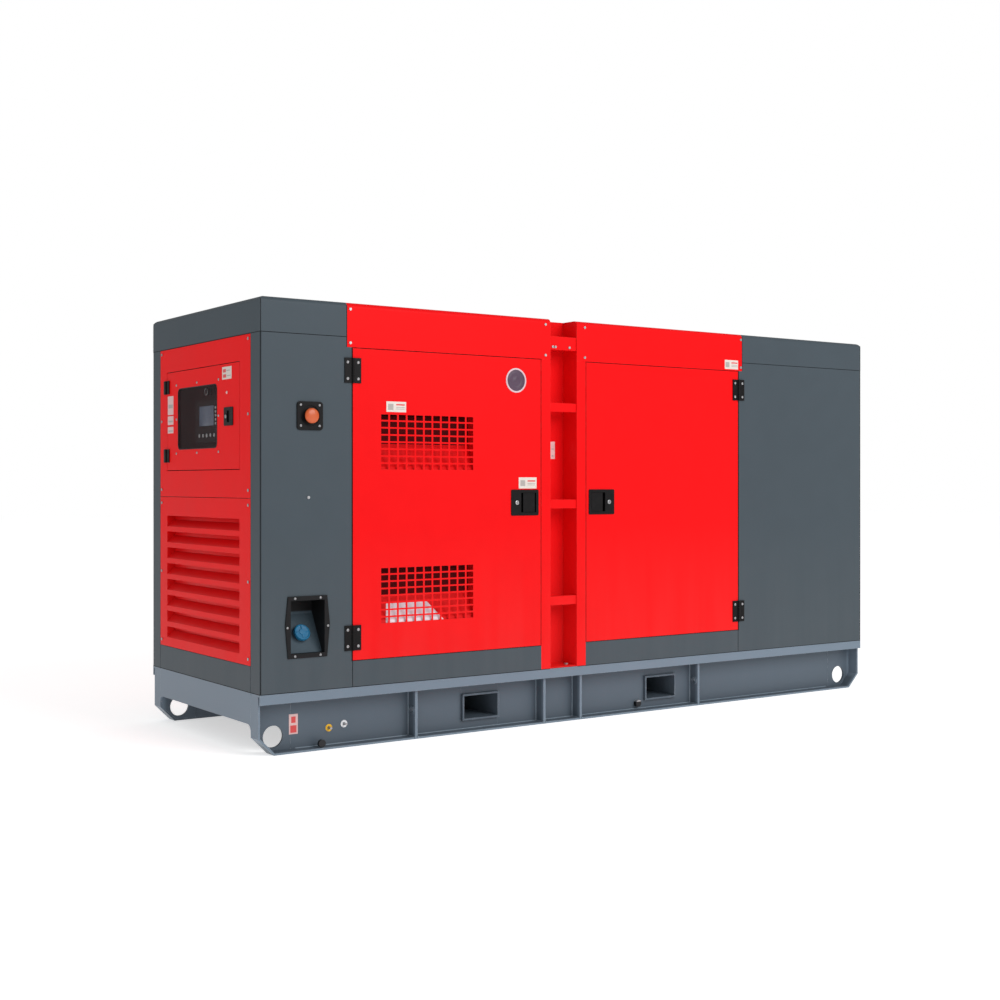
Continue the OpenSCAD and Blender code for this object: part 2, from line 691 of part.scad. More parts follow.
module rear_left_hardware() color([0.06, 0.06, 0.07]) at_door(false, true) door_hardware();
module rear_right_hardware() color([0.06, 0.06, 0.07]) at_door(false, false) door_hardware();
module door_paddle() at_latch() latch_paddle(latch_w, latch_h);
module front_left_paddle() color([0.08, 0.08, 0.09]) at_door(true, true) door_paddle();
module front_right_paddle() color([0.08, 0.08, 0.09]) at_door(true, false) door_paddle();
module rear_left_paddle() color([0.08, 0.08, 0.09]) at_door(false, true) door_paddle();
module rear_right_paddle() color([0.08, 0.08, 0.09]) at_door(false, false) door_paddle();

// ---------- Control door ----------

control_latch_w = 90;
control_latch_h = 77;
control_latch_y = control_y - control_door_w / 2 + 105;
control_latch_z = control_z;
module control_door() color([0.90, 0.11, 0.10]) {
  w = control_door_w;
  h = control_door_h;
  end_plate(end_x, skin_t) difference() {
    translate([control_y, control_z]) square([w, h], center = true);
    translate([window_y, control_z + 7]) round_rect(window_w, window_h, 20);
    translate([control_latch_y, control_latch_z])
      square([control_latch_w - 20, control_latch_h - 20], center = true);
  }
  difference() {
    block(-end_x + skin_t, -end_x + control_door_t, control_y - w / 2, control_y + w / 2,
      control_z - h / 2, control_z + h / 2);
    block(-end_x, -end_x + control_door_t + eps, control_y - w / 2 + skin_t,
      control_y + w / 2 - skin_t, control_z - h / 2 + skin_t, control_z + h / 2 - skin_t);
  }
}
module control_window() color([0.75, 0.82, 0.85, 0.35])
  end_plate(end_x - skin_t, 4) translate([window_y, control_z + 7])
    round_rect(window_w + 30, window_h + 30, 25);
module at_control_latch() {
  translate([-end_x, control_latch_y, control_latch_z]) rotate([0, 0, -90]) children();
}
module control_hardware() color([0.06, 0.06, 0.07]) {
  control_hinges("door");
  at_control_latch() latch_case(control_latch_w, control_latch_h);
}
module control_paddle() color([0.08, 0.08, 0.09])
  at_control_latch() latch_paddle(control_latch_w, control_latch_h);

// ---------- Control cabinet ----------

box_w = control_door_w + 60;
box_h = control_door_h + 60;
box_d = 230;
controller_w = 240;
controller_h = 180;
controller_y = window_y - 5;
module control_box() color([0.20, 0.22, 0.24]) difference() {
  union() {
    difference() {
      block(-end_x + sheet_t, -end_x + box_d, control_y - box_w / 2, control_y + box_w / 2,
        control_z - box_h / 2, control_z + box_h / 2);
      block(-end_x, -end_x + box_d - 2, control_y - box_w / 2 + 2, control_y + box_w / 2 - 2,
        control_z - box_h / 2 + 2, control_z + box_h / 2 - 2);
    }
    // deadfront that carries the controller, the key switch and the breaker
    block(-deadfront_x, -deadfront_x + 3, control_y - box_w / 2 + 2, control_y + box_w / 2 - 2,
      control_z - box_h / 2 + 2, control_z + box_h / 2 - 2);
  }
  rod_x(-deadfront_x - eps, -deadfront_x + 5, key_y, key_z, 9 + slip);
}
module controller() color([0.05, 0.05, 0.06]) difference() {
  block(-deadfront_x - 22, -deadfront_x, controller_y - controller_w / 2,
    controller_y + controller_w / 2, control_z - controller_h / 2 - 10,
    control_z + controller_h / 2 - 10);
  block(-deadfront_x - 22 - eps, -deadfront_x - 20, controller_y - 80, controller_y + 80,
    control_z - 30, control_z + 60);
}
key_y = controller_y;
key_z = control_z + 120;
module key_switch() color([0.12, 0.12, 0.13]) {
  rod_x(-deadfront_x - 8, -deadfront_x - seat, key_y, key_z, 15);
  rod_x(-deadfront_x - seat, -deadfront_x + 20, key_y, key_z, 9);
  block(-deadfront_x - 20, -deadfront_x - 8, key_y - 3, key_y + 3, key_z - 13, key_z + 13);
}
breaker_y = control_y - control_door_w / 2 + 130;
breaker_z = control_z - control_door_h / 2 + 110;
module breaker() color([0.10, 0.10, 0.11]) difference() {
  block(-deadfront_x - 30, -deadfront_x, breaker_y - 45, breaker_y + 45, breaker_z - 70,
    breaker_z + 70);
  block(-deadfront_x - 30 - eps, -deadfront_x - 8, breaker_y - 13, breaker_y + 13,
    breaker_z - 28, breaker_z + 28);
  rod_y(-deadfront_x - 18, breaker_y - 20, breaker_y + 20, breaker_z, 3 + slip);
}
module breaker_toggle() color([0.20, 0.20, 0.21]) {
  rod_y(-deadfront_x - 18, breaker_y - 19, breaker_y + 19, breaker_z, 3);
  rod_y(-deadfront_x - 18, breaker_y - 12, breaker_y + 12, breaker_z, 7);
  block(-deadfront_x - 44, -deadfront_x - 18, breaker_y - 10, breaker_y + 10, breaker_z - 4,
    breaker_z + 4);
}

// ---------- Stop button ----------

stem_r = 12;
module stop_bezel() color([0.05, 0.05, 0.06]) difference() {
  union() {
    translate([along(stop_x), 0, stop_z]) side_plate(side_y + 6, 6)
      round_rect(stop_size, stop_size, 14);
    rod_y(along(stop_x), -side_y, -side_y + 60, stop_z, 30);
  }
  rod_y(along(stop_x), -side_y - 7, -side_y - 2, stop_z, stop_head_r + 12);
  rod_y(along(stop_x), -side_y - 7, -side_y + 45, stop_z, stem_r + slip);
}
module stop_stem() color([0.85, 0.65, 0.10]) {
  rod_y(along(stop_x), -side_y - 18, -side_y + 38, stop_z, stem_r);
  rod_y(along(stop_x), -side_y - 26, -side_y - 18, stop_z, 8);
}
module stop_head() color([0.90, 0.25, 0.05]) difference() {
  rod_y(along(stop_x), -side_y - 32, -side_y - 18 - seat, stop_z, stop_head_r);
  rod_y(along(stop_x), -side_y - 26 - seat, -side_y - 15, stop_z, 8 + slip);
}

// ---------- Fuel filler ----------

// The mouth's pocket is deepest at the top; the neck stands on its sloping back.
low_depth = 25;
high_depth = 112;
slope_z = 150;
slope_angle = atan2(slope_z, high_depth - low_depth);
pocket_low = filler_z - mouth_h / 2;
cap_seat = [along(filler_x), -side_y + low_depth + 0.47 * (high_depth - low_depth),
  pocket_low + 0.47 * slope_z];
module filler_profile(d) polygon([[-side_y, pocket_low - d], [-side_y + low_depth + d / 2,
  pocket_low - d], [-side_y + high_depth + d, pocket_low + slope_z - d],
  [-side_y + high_depth + d, pocket_low + mouth_h + d], [-side_y, pocket_low + mouth_h + d]]);
module along_neck() translate(cap_seat) rotate([slope_angle, 0, 0]) children();
neck_r = 30;
module filler_recess() color([0.06, 0.06, 0.07]) difference() {
  union() {
    translate([along(filler_x), 0, filler_z]) side_plate(side_y + 5, 5) filler_outline(0);
    translate([along(filler_x) - mouth_w / 2 - 3, 0, 0]) rotate([90, 0, 90])
      linear_extrude(mouth_w + 6) filler_profile(3);
    along_neck() translate([0, 0, -40]) cylinder(r = neck_r, h = 44);
  }
  difference() {
    translate([along(filler_x) - mouth_w / 2, -0, 0]) rotate([90, 0, 90])
      linear_extrude(mouth_w) union() {
        filler_profile(0);
        translate([-side_y - 6, pocket_low]) square([8, mouth_h]);
      }
    along_neck() translate([0, 0, -1]) cylinder(r = neck_r, h = 11);
  }
  along_neck() translate([0, 0, -50]) cylinder(r = 22 + slip, h = 80);
}
module cap_plug() color([0.20, 0.35, 0.60]) along_neck() {
  translate([0, 0, -14]) cylinder(r = 22, h = 24);
  translate([0, 0, 10]) cylinder(r = 10, h = 10);
}
module fuel_cap() color([0.10, 0.45, 0.75]) along_neck() difference() {
  union() {
    translate([0, 0, 10 + seat]) cylinder(r = cap_r, h = 16);
    for (a = [0:30:330]) rotate([0, 0, a]) translate([cap_r - 1, 0, 10 + seat])
      cylinder(r = 3, h = 14);
  }
  translate([0, 0, 9]) cylinder(r = 10 + slip, h = 11 + seat);
}

// ---------- Power train ----------

module engine_mounts() color([0.08, 0.08, 0.08])
  for (x = [generator_mount_x, rear_mount_x, front_mount_x], s = [-1, 1])
    translate([along(x), s * mount_y, base_h]) cylinder(r = mount_r, h = mount_h);
module foot(x, wall_y) both_sides() {
  block(along(x) - 45, along(x) + 45, -mount_y - 45, -wall_y, base_h + mount_h,
    base_h + mount_h + foot_t);
  block(along(x) - 45, along(x) + 45, -wall_y - foot_t, -wall_y, base_h + mount_h, crank_z - 60);
}
module engine_block() color([0.45, 0.47, 0.48]) difference() {
  x0 = along(block_x0);
  x1 = along(block_x1);
  union() {
    block(x0, x1, -block_w / 2, block_w / 2, block_bottom, block_top);
    block(x0 + 60, x1 - 60, -block_w / 2 + 50, block_w / 2 - 50, block_bottom - sump_h,
      block_bottom);
    rod_x(along(flywheel_x0), x0, 0, crank_z, generator_r - 10);
    rod_x(x1, x1 + 14, 0, fan_z, 42);
    foot(front_mount_x, block_w / 2);
    foot(rear_mount_x + 60, 150);
  }
  // crankcase and sump
  block(x0 + 100, x1 - 100, -block_w / 2 + 40, block_w / 2 - 40, block_bottom + 20,
    block_top - 40);
  block(x0 + 80, x1 - 80, -block_w / 2 + 60, block_w / 2 - 60, block_bottom - sump_h + 10,
    block_bottom + 30);
  rod_x(along(flywheel_x0) - eps, x0 - 14, 0, crank_z, generator_r - 24);
  rod_x(x0 - 20, x1 + eps, 0, crank_z, crank_r + slip);
  rod_x(x1 - 60, x1 + 20, 0, fan_z, 15 + slip);
}
module cylinder_head() color([0.50, 0.51, 0.50]) {
  x0 = along(block_x0);
  x1 = along(block_x1);
  block(x0 + 20, x1 - 20, -130, 130, block_top, block_top + 100);
  block(x0 + 40, x1 - 40, -95, 95, block_top + 100, block_top + 170);
  block(x0 + 80, x1 - 80, 130, 205, block_top + 20, block_top + 80);
  block(x0 + 80, x1 - 80, -195, -130, block_top + 20, block_top + 80);
}
module generator_housing() color([0.20, 0.35, 0.50]) difference() {
  x0 = along(generator_x0);
  x1 = along(flywheel_x0);
  bell_t = 20;
  union() {
    rod_x(x0, x1, 0, crank_z, generator_r);
    foot(generator_mount_x, 150);
    block(x0 + 120, x1 - 120, -170, 170, crank_z + 150, crank_z + generator_r + 70);
  }
  rod_x(x0 + bell_t, x1 + eps, 0, crank_z, generator_r - 75);
  rod_x(x0 - eps, x0 + bell_t + eps, 0, crank_z, crank_r + slip);
}
rotor_x0 = generator_x0 + 60;
rotor_x1 = flywheel_x0 - 60;
module generator_rotor() color([0.55, 0.35, 0.20]) difference() {
  rod_x(along(rotor_x0), along(rotor_x1), 0, crank_z, generator_r - 80);
  rod_x(along(rotor_x0) - eps, along(rotor_x1) + eps, 0, crank_z, crank_r);
}
module crankshaft() color([0.60, 0.61, 0.62]) {
  rod_x(along(generator_x0), along(pulley_x) + pulley_w, 0, crank_z, crank_r);
  rod_x(along(flywheel_x0) + 20, along(flywheel_x0) + 75, 0, crank_z, generator_r - 40);
  rod_x(along(pulley_x), along(pulley_x) + pulley_w, 0, crank_z, crank_pulley_r);
}
module cooling_fan() color([0.75, 0.55, 0.10]) {
  px = along(pulley_x);
  rod_x(px - 75, px + pulley_w + 40, 0, fan_z, 15);
  rod_x(px, px + pulley_w, 0, fan_z, fan_pulley_r);
  rod_x(px + pulley_w + 15, px + pulley_w + 75, 0, fan_z, 60);
  for (a = [0:45:315]) translate([px + pulley_w + 45, 0, fan_z]) rotate([a, 0, 0])
    translate([0, 0, 50]) rotate([0, 0, 35]) translate([-4, -45, 0]) cube([8, 90, fan_r - 55]);
}
module fan_belt() color([0.05, 0.05, 0.05]) {
  px = along(pulley_x) + 4;
  translate([px, 0, 0]) rotate([90, 0, 90]) linear_extrude(pulley_w - 8) difference() {
    hull() {
      translate([0, crank_z]) circle(r = crank_pulley_r + seat + belt_t);
      translate([0, fan_z]) circle(r = fan_pulley_r + seat + belt_t);
    }
    hull() {
      translate([0, crank_z]) circle(r = crank_pulley_r + seat);
      translate([0, fan_z]) circle(r = fan_pulley_r + seat);
    }
  }
}
radiator_y = 420;
module radiator() color([0.12, 0.12, 0.13]) difference() {
  x0 = along(radiator_x0);
  union() {
    block(x0, x0 + radiator_t, -radiator_y, radiator_y, base_h, fan_z + fan_r + 170);
    rod_x(x0 - 70, x0, 0, fan_z, fan_r + 40);
  }
  rod_x(x0 - 71, x0, 0, fan_z, fan_r + 30);
}
silencer_x = outlet_x + 30;
silencer_r = 130;
silencer_z = roof_z - 330;
silencer_y = 400;
turbo_x = along(block_x0) + 560;
module exhaust_silencer() color([0.35, 0.30, 0.27]) {
  pipe = 45;
  pipe_z = block_top + 50;
  turbo_y = -260;
  rise_z = silencer_z;
  difference() {
    union() {
      rod_y(silencer_x, -silencer_y, silencer_y, silencer_z, silencer_r);
      // hangers up to the roof
      for (y = [-250, 250]) block(silencer_x - 30, silencer_x + 30, y - 3, y + 3,
        silencer_z + silencer_r - 12, roof_z - sheet_t);
      // manifold flange, turbocharger and the pipe over the radiator
      block(turbo_x - 50, turbo_x + 50, turbo_y - 40, -195, pipe_z - 40, pipe_z + 30);
      translate([turbo_x, turbo_y, pipe_z + 30]) cylinder(r = pipe, h = rise_z - pipe_z - 30);
      translate([turbo_x, turbo_y, rise_z]) sphere(r = pipe);
      rod_x(turbo_x, silencer_x, turbo_y, rise_z, pipe);
      // outlet stub through the roof
      translate([outlet_x, 0, silencer_z + silencer_r - 40])
        cylinder(r = outlet_r, h = roof_z + outlet_h - silencer_z - silencer_r + 40);
      // hinge lug of the rain cap
      block(outlet_x + outlet_r - 6, outlet_x + outlet_r + 6, -22, -12 - seat,
        roof_z + outlet_h - 20, roof_z + outlet_h);
      block(outlet_x + outlet_r - 6, outlet_x + outlet_r + 6, 12 + seat, 22,
        roof_z + outlet_h - 20, roof_z + outlet_h);
      rod_y(outlet_x + outlet_r + 10, -22, -12 - seat, roof_z + outlet_h, 6);
      rod_y(outlet_x + outlet_r + 10, 12 + seat, 22, roof_z + outlet_h, 6);
      rod_y(outlet_x + outlet_r + 10, -20, 20, roof_z + outlet_h, 3);
    }
    rod_y(silencer_x, 6 - silencer_y, silencer_y - 6, silencer_z, silencer_r - 6);
    translate([outlet_x, 0, silencer_z]) cylinder(r = outlet_r - 4, h = 600);
  }
}
outlet_h = 45;
module rain_cap() color([0.35, 0.33, 0.32]) {
  z = roof_z + outlet_h;
  hx = outlet_x + outlet_r + 10;
  difference() {
    union() {
      translate([outlet_x, 0, z + seat]) cylinder(r = outlet_r + 4, h = 4);
      block(outlet_x + 20, hx, -12, 12, z + seat, z + seat + 4);
      rod_y(hx, -12, 12, z, 6);
    }
    rod_y(hx, -30, 30, z, 3 + slip);
    block(outlet_x + outlet_r - 10, outlet_x + outlet_r + 1, -13, 13, z - 20, z + seat);
  }
}
module air_cleaner() color([0.08, 0.08, 0.09]) {
  x = along(block_x0) + 90;
  z = block_top + 320;
  rod_x(x, x + 330, 90, z, 105);
  rod_x(x + 330, x + 400, 90, z, 50);
  block(x + 60, x + 120, 60, 90, block_top + 170, z - 95);
  block(x + 220, x + 280, 60, 90, block_top + 170, z - 95);
}
module battery() color([0.75, 0.75, 0.73]) {
  x = along(battery_cross_x);
  block(x - 140, x + 140, -web_in_y - 25, -web_in_y + 145, base_h, base_h + 200);
  for (s = [-1, 1]) translate([x + s * 100, -web_in_y + 60, base_h + 200]) cylinder(r = 10, h = 18);
}

// ---------- Fasteners ----------

screw_r = 6;
screw_h = 3;
module front_screw(x, z) rod_y(x, -side_y - screw_h, -side_y, z, screw_r);
module left_screw(y, z) rod_x(-end_x - screw_h, -end_x, y, z, screw_r);
screw_y = red_w / 2 - 19;
stud_r = 5;
stud_l = 22;
stud_x = 345;
stud_z = 78;
module fasteners() color([0.70, 0.71, 0.72]) {
  // header corners
  both_sides() {
    for (z = [door_z1 + 18, roof_z - roof_r - 6]) {
      for (x = [left_door_x0 - header_lap + 15, ladder_x0 - 29]) front_screw(x, z);
      for (x = [ladder_x1 + 46, right_door_x1 + header_lap - 8]) front_screw(x, z);
    }
    front_screw(along(213), split_z + 3);
    // bolts of the ladder's tie plate and foot
    for (x = [ladder_x0 + 15, ladder_x0 + 30, ladder_x1 - 40])
      rod_y(x, -side_y + rung_inset - 4, -side_y + rung_inset, tie_z + 12, 6);
    for (x = [ladder_x0 + 25, ladder_x1 - 25])
      translate([x, -side_y + 50, base_h + 6]) cylinder(r = 10, h = 7);
    // drain plugs
    rod_y(along(2001), -web_y - 20, -web_y, 36, 16);
    rod_y(along(291), -flange_y + 10, -flange_y + 24, plate_t + 16.5, 16);
  }
  for (s = [-1, 1]) {
    for (z = [split_z + 32, (split_z + band_z) / 2 + 8, band_z - 20]) left_screw(s * screw_y, z);
    for (z = [door_z0 + 26, (split_z + door_z0) / 2, split_z - 28]) left_screw(s * screw_y, z);
    for (z = [door_z0 + 26, split_z, band_z - 20]) mirror([1, 0, 0]) left_screw(s * screw_y, z);
  }
  // earth studs
  rod_y(along(stud_x), -web_y - stud_l, -web_y, stud_z, stud_r);
  rod_y(along(stud_x + 71), -web_y - stud_l, -web_y, stud_z + 10, stud_r);
}

side_rails();
end_beams();
lifting_eyes();
cross_members();
fork_pockets();
fuel_tank();
front_left_panel();
side_panels();
corner_posts();
door_headers();
lower_panels();
ladder_channels();
ladder_rungs();
roof_caps();
roof_centre();
control_panel();
louvre_panel();
right_end_panel();
fixed_hinges();
fasteners();
stop_bezel();
filler_recess();
engine_block();
cylinder_head();
generator_housing();
engine_mounts();
radiator();
exhaust_silencer();
air_cleaner();
control_box();
controller();
breaker();
battery();
fan_belt();
front_left_door();
front_right_door();
rear_left_door();
rear_right_door();
front_left_hardware();
front_right_hardware();
rear_left_hardware();
rear_right_hardware();
front_left_paddle();
front_right_paddle();
rear_left_paddle();
rear_right_paddle();
control_door();
control_window();
control_hardware();
control_paddle();
stop_stem();
stop_head();
cap_plug();
fuel_cap();
crankshaft();
generator_rotor();
cooling_fan();
rain_cap();
key_switch();
breaker_toggle();
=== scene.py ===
import math
import bmesh
import bpy
from mathutils import Matrix, Vector


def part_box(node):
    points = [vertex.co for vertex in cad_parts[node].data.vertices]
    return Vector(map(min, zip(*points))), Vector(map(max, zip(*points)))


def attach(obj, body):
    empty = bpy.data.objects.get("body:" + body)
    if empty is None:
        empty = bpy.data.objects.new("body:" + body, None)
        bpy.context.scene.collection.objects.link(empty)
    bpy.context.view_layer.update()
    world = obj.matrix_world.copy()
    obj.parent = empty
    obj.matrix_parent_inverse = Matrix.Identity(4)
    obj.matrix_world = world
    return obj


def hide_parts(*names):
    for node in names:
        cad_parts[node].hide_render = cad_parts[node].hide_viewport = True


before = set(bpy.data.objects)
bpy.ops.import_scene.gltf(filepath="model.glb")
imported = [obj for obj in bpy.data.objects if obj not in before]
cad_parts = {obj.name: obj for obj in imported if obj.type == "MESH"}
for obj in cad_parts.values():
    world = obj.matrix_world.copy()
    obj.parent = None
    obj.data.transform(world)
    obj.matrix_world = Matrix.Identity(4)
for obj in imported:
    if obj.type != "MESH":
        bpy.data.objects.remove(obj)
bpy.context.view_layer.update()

# Studio: a pale floor under a white sky, a wide soft lamp over the long side, a weaker one past
# the control end, and the camera at eye height off the corner with the filler.
floor_mesh = bpy.data.meshes.new("studio_floor")
floor = bpy.data.objects.new("studio_floor", floor_mesh)
bpy.context.scene.collection.objects.link(floor)
bm = bmesh.new()
bmesh.ops.create_grid(bm, x_segments=1, y_segments=1, size=40)
bm.to_mesh(floor_mesh)
bm.free()
floor_paint = bpy.data.materials.new("studio_floor")
floor_paint.use_nodes = True
for socket, value in (("Base Color", (0.9, 0.9, 0.9, 1)), ("Roughness", 0.9),
                      ("Emission Color", (1, 1, 1, 1)), ("Emission Strength", 0.55)):
    floor_paint.node_tree.nodes["Principled BSDF"].inputs[socket].default_value = value
floor_mesh.materials.append(floor_paint)

sky = bpy.data.worlds.new("studio_sky")
sky.use_nodes = True
sky.node_tree.nodes["Background"].inputs["Color"].default_value = (1, 1, 1, 1)
seen_directly = sky.node_tree.nodes.new("ShaderNodeLightPath")
sky_strength = sky.node_tree.nodes.new("ShaderNodeMapRange")
sky_strength.inputs["To Min"].default_value = 0.50
sky_strength.inputs["To Max"].default_value = 1.0
sky.node_tree.links.new(seen_directly.outputs["Is Camera Ray"], sky_strength.inputs["Value"])
sky.node_tree.links.new(sky_strength.outputs["Result"],
                        sky.node_tree.nodes["Background"].inputs["Strength"])
bpy.context.scene.world = sky
bpy.context.scene.view_settings.view_transform = "Standard"


def softbox(name, place, target, size, watts):
    """A square lamp at place that shines towards target."""
    lamp = bpy.data.lights.new(name, "AREA")
    lamp.size, lamp.energy = size, watts
    holder = bpy.data.objects.new(name, lamp)
    bpy.context.scene.collection.objects.link(holder)
    holder.location = place
    holder.rotation_euler = (Vector(target) - Vector(place)).to_track_quat("-Z", "Y").to_euler()


softbox("long_side_lamp", (1.5, -7.5, 5.0), (0, 0, 0.9), 5.0, 400)
softbox("control_end_lamp", (-8.0, -1.5, 3.2), (-1.7, 0, 0.9), 4.0, 30)

eye = bpy.data.cameras.new("eye")
eye.sensor_width, eye.lens = 36, 51.9
eye.shift_x, eye.shift_y = -0.02, -0.0166
camera = bpy.data.objects.new("eye", eye)
camera.location = (-4.207, -5.846, 1.092)
camera.rotation_euler = (math.radians(90), 0, math.atan2(-0.5766, 0.8170))
bpy.context.scene.collection.objects.link(camera)
bpy.context.scene.camera = camera

# Skid base: folded and welded 8 mm plate, shot blasted, primed and brushed with blue-grey satin
# enamel, lightened along its edges as wear and as a painted highlight, dusty near the ground, and
# darkened with painted shade on the web under the lip.


class Wire:
    """One output in a finish's node tree. Sums and products of wires add Math nodes."""

    def __init__(self, tree, socket):
        self.tree, self.socket = tree, socket

    def node(self, kind, settings=None, sockets=None, out=0):
        """Adds a node, with its settings first and then a value or a wire for each socket."""
        made = self.tree.nodes.new("ShaderNode" + kind)
        for name, value in (settings or {}).items():
            if name == "stops":
                ramp = made.color_ramp.elements
                while len(ramp) < len(value):
                    ramp.new(0.5)
                for stop, (place, shade) in zip(ramp, value):
                    stop.position, stop.color = place, (shade, shade, shade, 1)
            else:
                setattr(made, name, value)
        for name, value in (sockets or {}).items():
            if isinstance(value, Wire):
                self.tree.links.new(value.socket, made.inputs[name])
            else:
                made.inputs[name].default_value = value
        return Wire(self.tree, made.outputs[out])

    def math(self, operation, a, b=0.0, clamp=False):
        return self.node("Math", {"operation": operation, "use_clamp": clamp}, {0: a, 1: b})

    def __add__(self, other):
        return self.math("ADD", self, other)

    def __sub__(self, other):
        return self.math("SUBTRACT", self, other)

    def __rsub__(self, other):
        return self.math("SUBTRACT", other, self)

    def __mul__(self, other):
        return self.math("MULTIPLY", self, other)

    def __abs__(self):
        return self.math("ABSOLUTE", self)

    __radd__ = __add__
    __rmul__ = __mul__

    def clip(self):
        """This value held between 0 and 1."""
        return self.math("ADD", self, 0.0, clamp=True)

    def sine(self):
        return self.math("SINE", self)

    def noise(self, scale, detail=2.0, rough=0.5):
        """Noise on this wire's coordinates, in cycles a metre."""
        return self.node("TexNoise", None, {"Vector": self, "Scale": scale, "Detail": detail,
                                            "Roughness": rough})

    def ramp(self, *stops):
        """This value through a ramp of (place, grey) stops."""
        return self.node("ValToRGB", {"stops": stops}, {"Fac": self})

    def stretch(self, x, y, z):
        """These coordinates times a scale along each axis."""
        return self.node("Mapping", None, {"Vector": self, "Scale": (x, y, z)})

    def axis(self, name):
        return self.node("SeparateXYZ", None, {"Vector": self}, out=name)

    def between(self, first, second):
        """Colour from first to second as this wire goes from 0 to 1."""
        return self.node("Mix", {"data_type": "RGBA"}, {0: self, 6: first, 7: second}, out=2)


class Finish:
    """A material with one Principled shader. Constants are set on its sockets, patterns are led in."""

    def __init__(self, name, **constants):
        self.material = bpy.data.materials.new(name)
        self.material.use_nodes = True
        self.shader = self.material.node_tree.nodes["Principled BSDF"]
        for socket, value in constants.items():
            self.shader.inputs[socket.replace("_", " ")].default_value = value
        self.start = Wire(self.material.node_tree, None)
        self.place = self.start.node("TexCoord", out="Object")
        self.edge_normal = None

    def lead(self, **wires):
        for socket, wire in wires.items():
            self.start.tree.links.new(wire.socket, self.shader.inputs[socket.replace("_", " ")])

    def edges(self, radius):
        """1 on convex and concave edges, 0 on the flats; also rounds the shaded edge."""
        self.edge_normal = self.start.node("Bevel", {"samples": 4}, {"Radius": radius})
        face = self.start.node("NewGeometry", out="Normal")
        same = self.start.node("VectorMath", {"operation": "DOT_PRODUCT"},
                               {0: self.edge_normal, 1: face}, out="Value")
        return ((1 - same) * 5).clip()

    def bump(self, height, depth):
        """Leads a height, which is depth metres where it is 1, into the shader's normal."""
        sockets = {"Height": height, "Distance": depth}
        if self.edge_normal:
            sockets["Normal"] = self.edge_normal
        self.lead(Normal=self.start.node("Bump", None, sockets))

    def on(self, *nodes):
        """Puts this finish on CAD nodes."""
        for name in nodes:
            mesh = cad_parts[name].data
            mesh.materials.clear()
            mesh.materials.append(self.material)


def shade(colour, factor):
    """A colour made lighter or darker, with an alpha of 1."""
    return (*(c * factor for c in colour), 1)


def paint(name, colour, rough, edge_wear_and_highlight, gloss=0.15, peel_depth=0.00006, dust_height=0.9, lip_shade=0.0):
    """Paint on steel: orange peel, faint clouding, edges lightened as wear and as painted highlight, dust
    low down, painted shade under the lip.
    """
    made = Finish(name, Specular_IOR_Level=gloss)
    place = made.place
    cloud = place.noise(1.1, 4)
    blotch = place.noise(9, 3)
    streak = place.stretch(14, 14, 1.2).noise(1, 4)
    grain = place.noise(160, 3)
    tone = (cloud * 0.6 + blotch * 0.4).between(shade(colour, 0.90), shade(colour, 1.10))
    dust = ((dust_height - place.axis("Z")) * (0.07 / dust_height) * streak).clip()
    dusty_and_shaded = dust.between(tone, (0.42, 0.40, 0.37, 1))
    # Painted shade: the web under the lip and inboard of the end beams is darkened towards near black.
    if lip_shade:
        under_lip = ((0.552 - abs(place.axis("Y"))) * 60).clip()
        inboard = ((1.735 - abs(place.axis("X"))) * 60).clip()
        dusty_and_shaded = (under_lip * inboard * lip_shade).between(dusty_and_shaded, (0.010, 0.013, 0.017, 1))
    # Edges take the lighter colour: partly rubbed wear, partly a painted highlight.
    lighter_edges = (made.edges(0.0022) * place.noise(38, 4).ramp((0.42, 0), (0.62, 1))).clip() * 0.75
    made.lead(Base_Color=lighter_edges.between(dusty_and_shaded, edge_wear_and_highlight))
    made.lead(Roughness=(rough + blotch * 0.10 + dust * 0.5 + lighter_edges * 0.1 - 0.05).clip())
    made.bump(grain + place.noise(420, 1) * 0.5, peel_depth)
    return made


# Edge colour for the blue-grey enamels: rubbed paint, lightened further as a painted highlight.
worn_and_highlight_grey = (0.50, 0.54, 0.60, 1)
base_enamel = paint("base_enamel", (0.150, 0.195, 0.245), 0.36, worn_and_highlight_grey, 0.2, 0.00012, 0.30, 0.45)
base_enamel.on("side_rails", "end_beams", "lifting_eyes", "cross_members", "fork_pockets")


def slab(bm, corner, opposite, soft=0.0, segments=2):
    """Adds a box between two opposite corners, with its edges rounded by soft."""
    corner, opposite = Vector(corner), Vector(opposite)
    size = [abs(length) for length in opposite - corner]
    verts = bmesh.ops.create_cube(bm, size=1)["verts"]
    bmesh.ops.scale(bm, vec=size, verts=verts)
    bmesh.ops.translate(bm, vec=(corner + opposite) / 2, verts=verts)
    faces = list({face for vert in verts for face in vert.link_faces})
    if soft:
        edges = list({edge for vert in verts for edge in vert.link_edges})
        made = bmesh.ops.bevel(bm, geom=edges, offset=soft, affect="EDGES", segments=segments,
                               profile=0.5, material=-1)
        faces = [face for face in faces if face.is_valid] + made["faces"]
    return faces


def rod(bm, start, end, radius, sides=24):
    """Adds a closed cylinder between two points."""
    start, end = Vector(start), Vector(end)
    turn = (end - start).to_track_quat("Z", "Y").to_matrix().to_4x4()
    bmesh.ops.create_cone(bm, cap_ends=True, cap_tris=False, segments=sides, radius1=radius,
                          radius2=radius, depth=(end - start).length,
                          matrix=Matrix.Translation((start + end) / 2) @ turn)


def join(bm, part):
    """Adds a finished part to a piece, and frees it."""
    mesh = bpy.data.meshes.new("part")
    part.to_mesh(mesh)
    part.free()
    bm.from_mesh(mesh)
    bpy.data.meshes.remove(mesh)


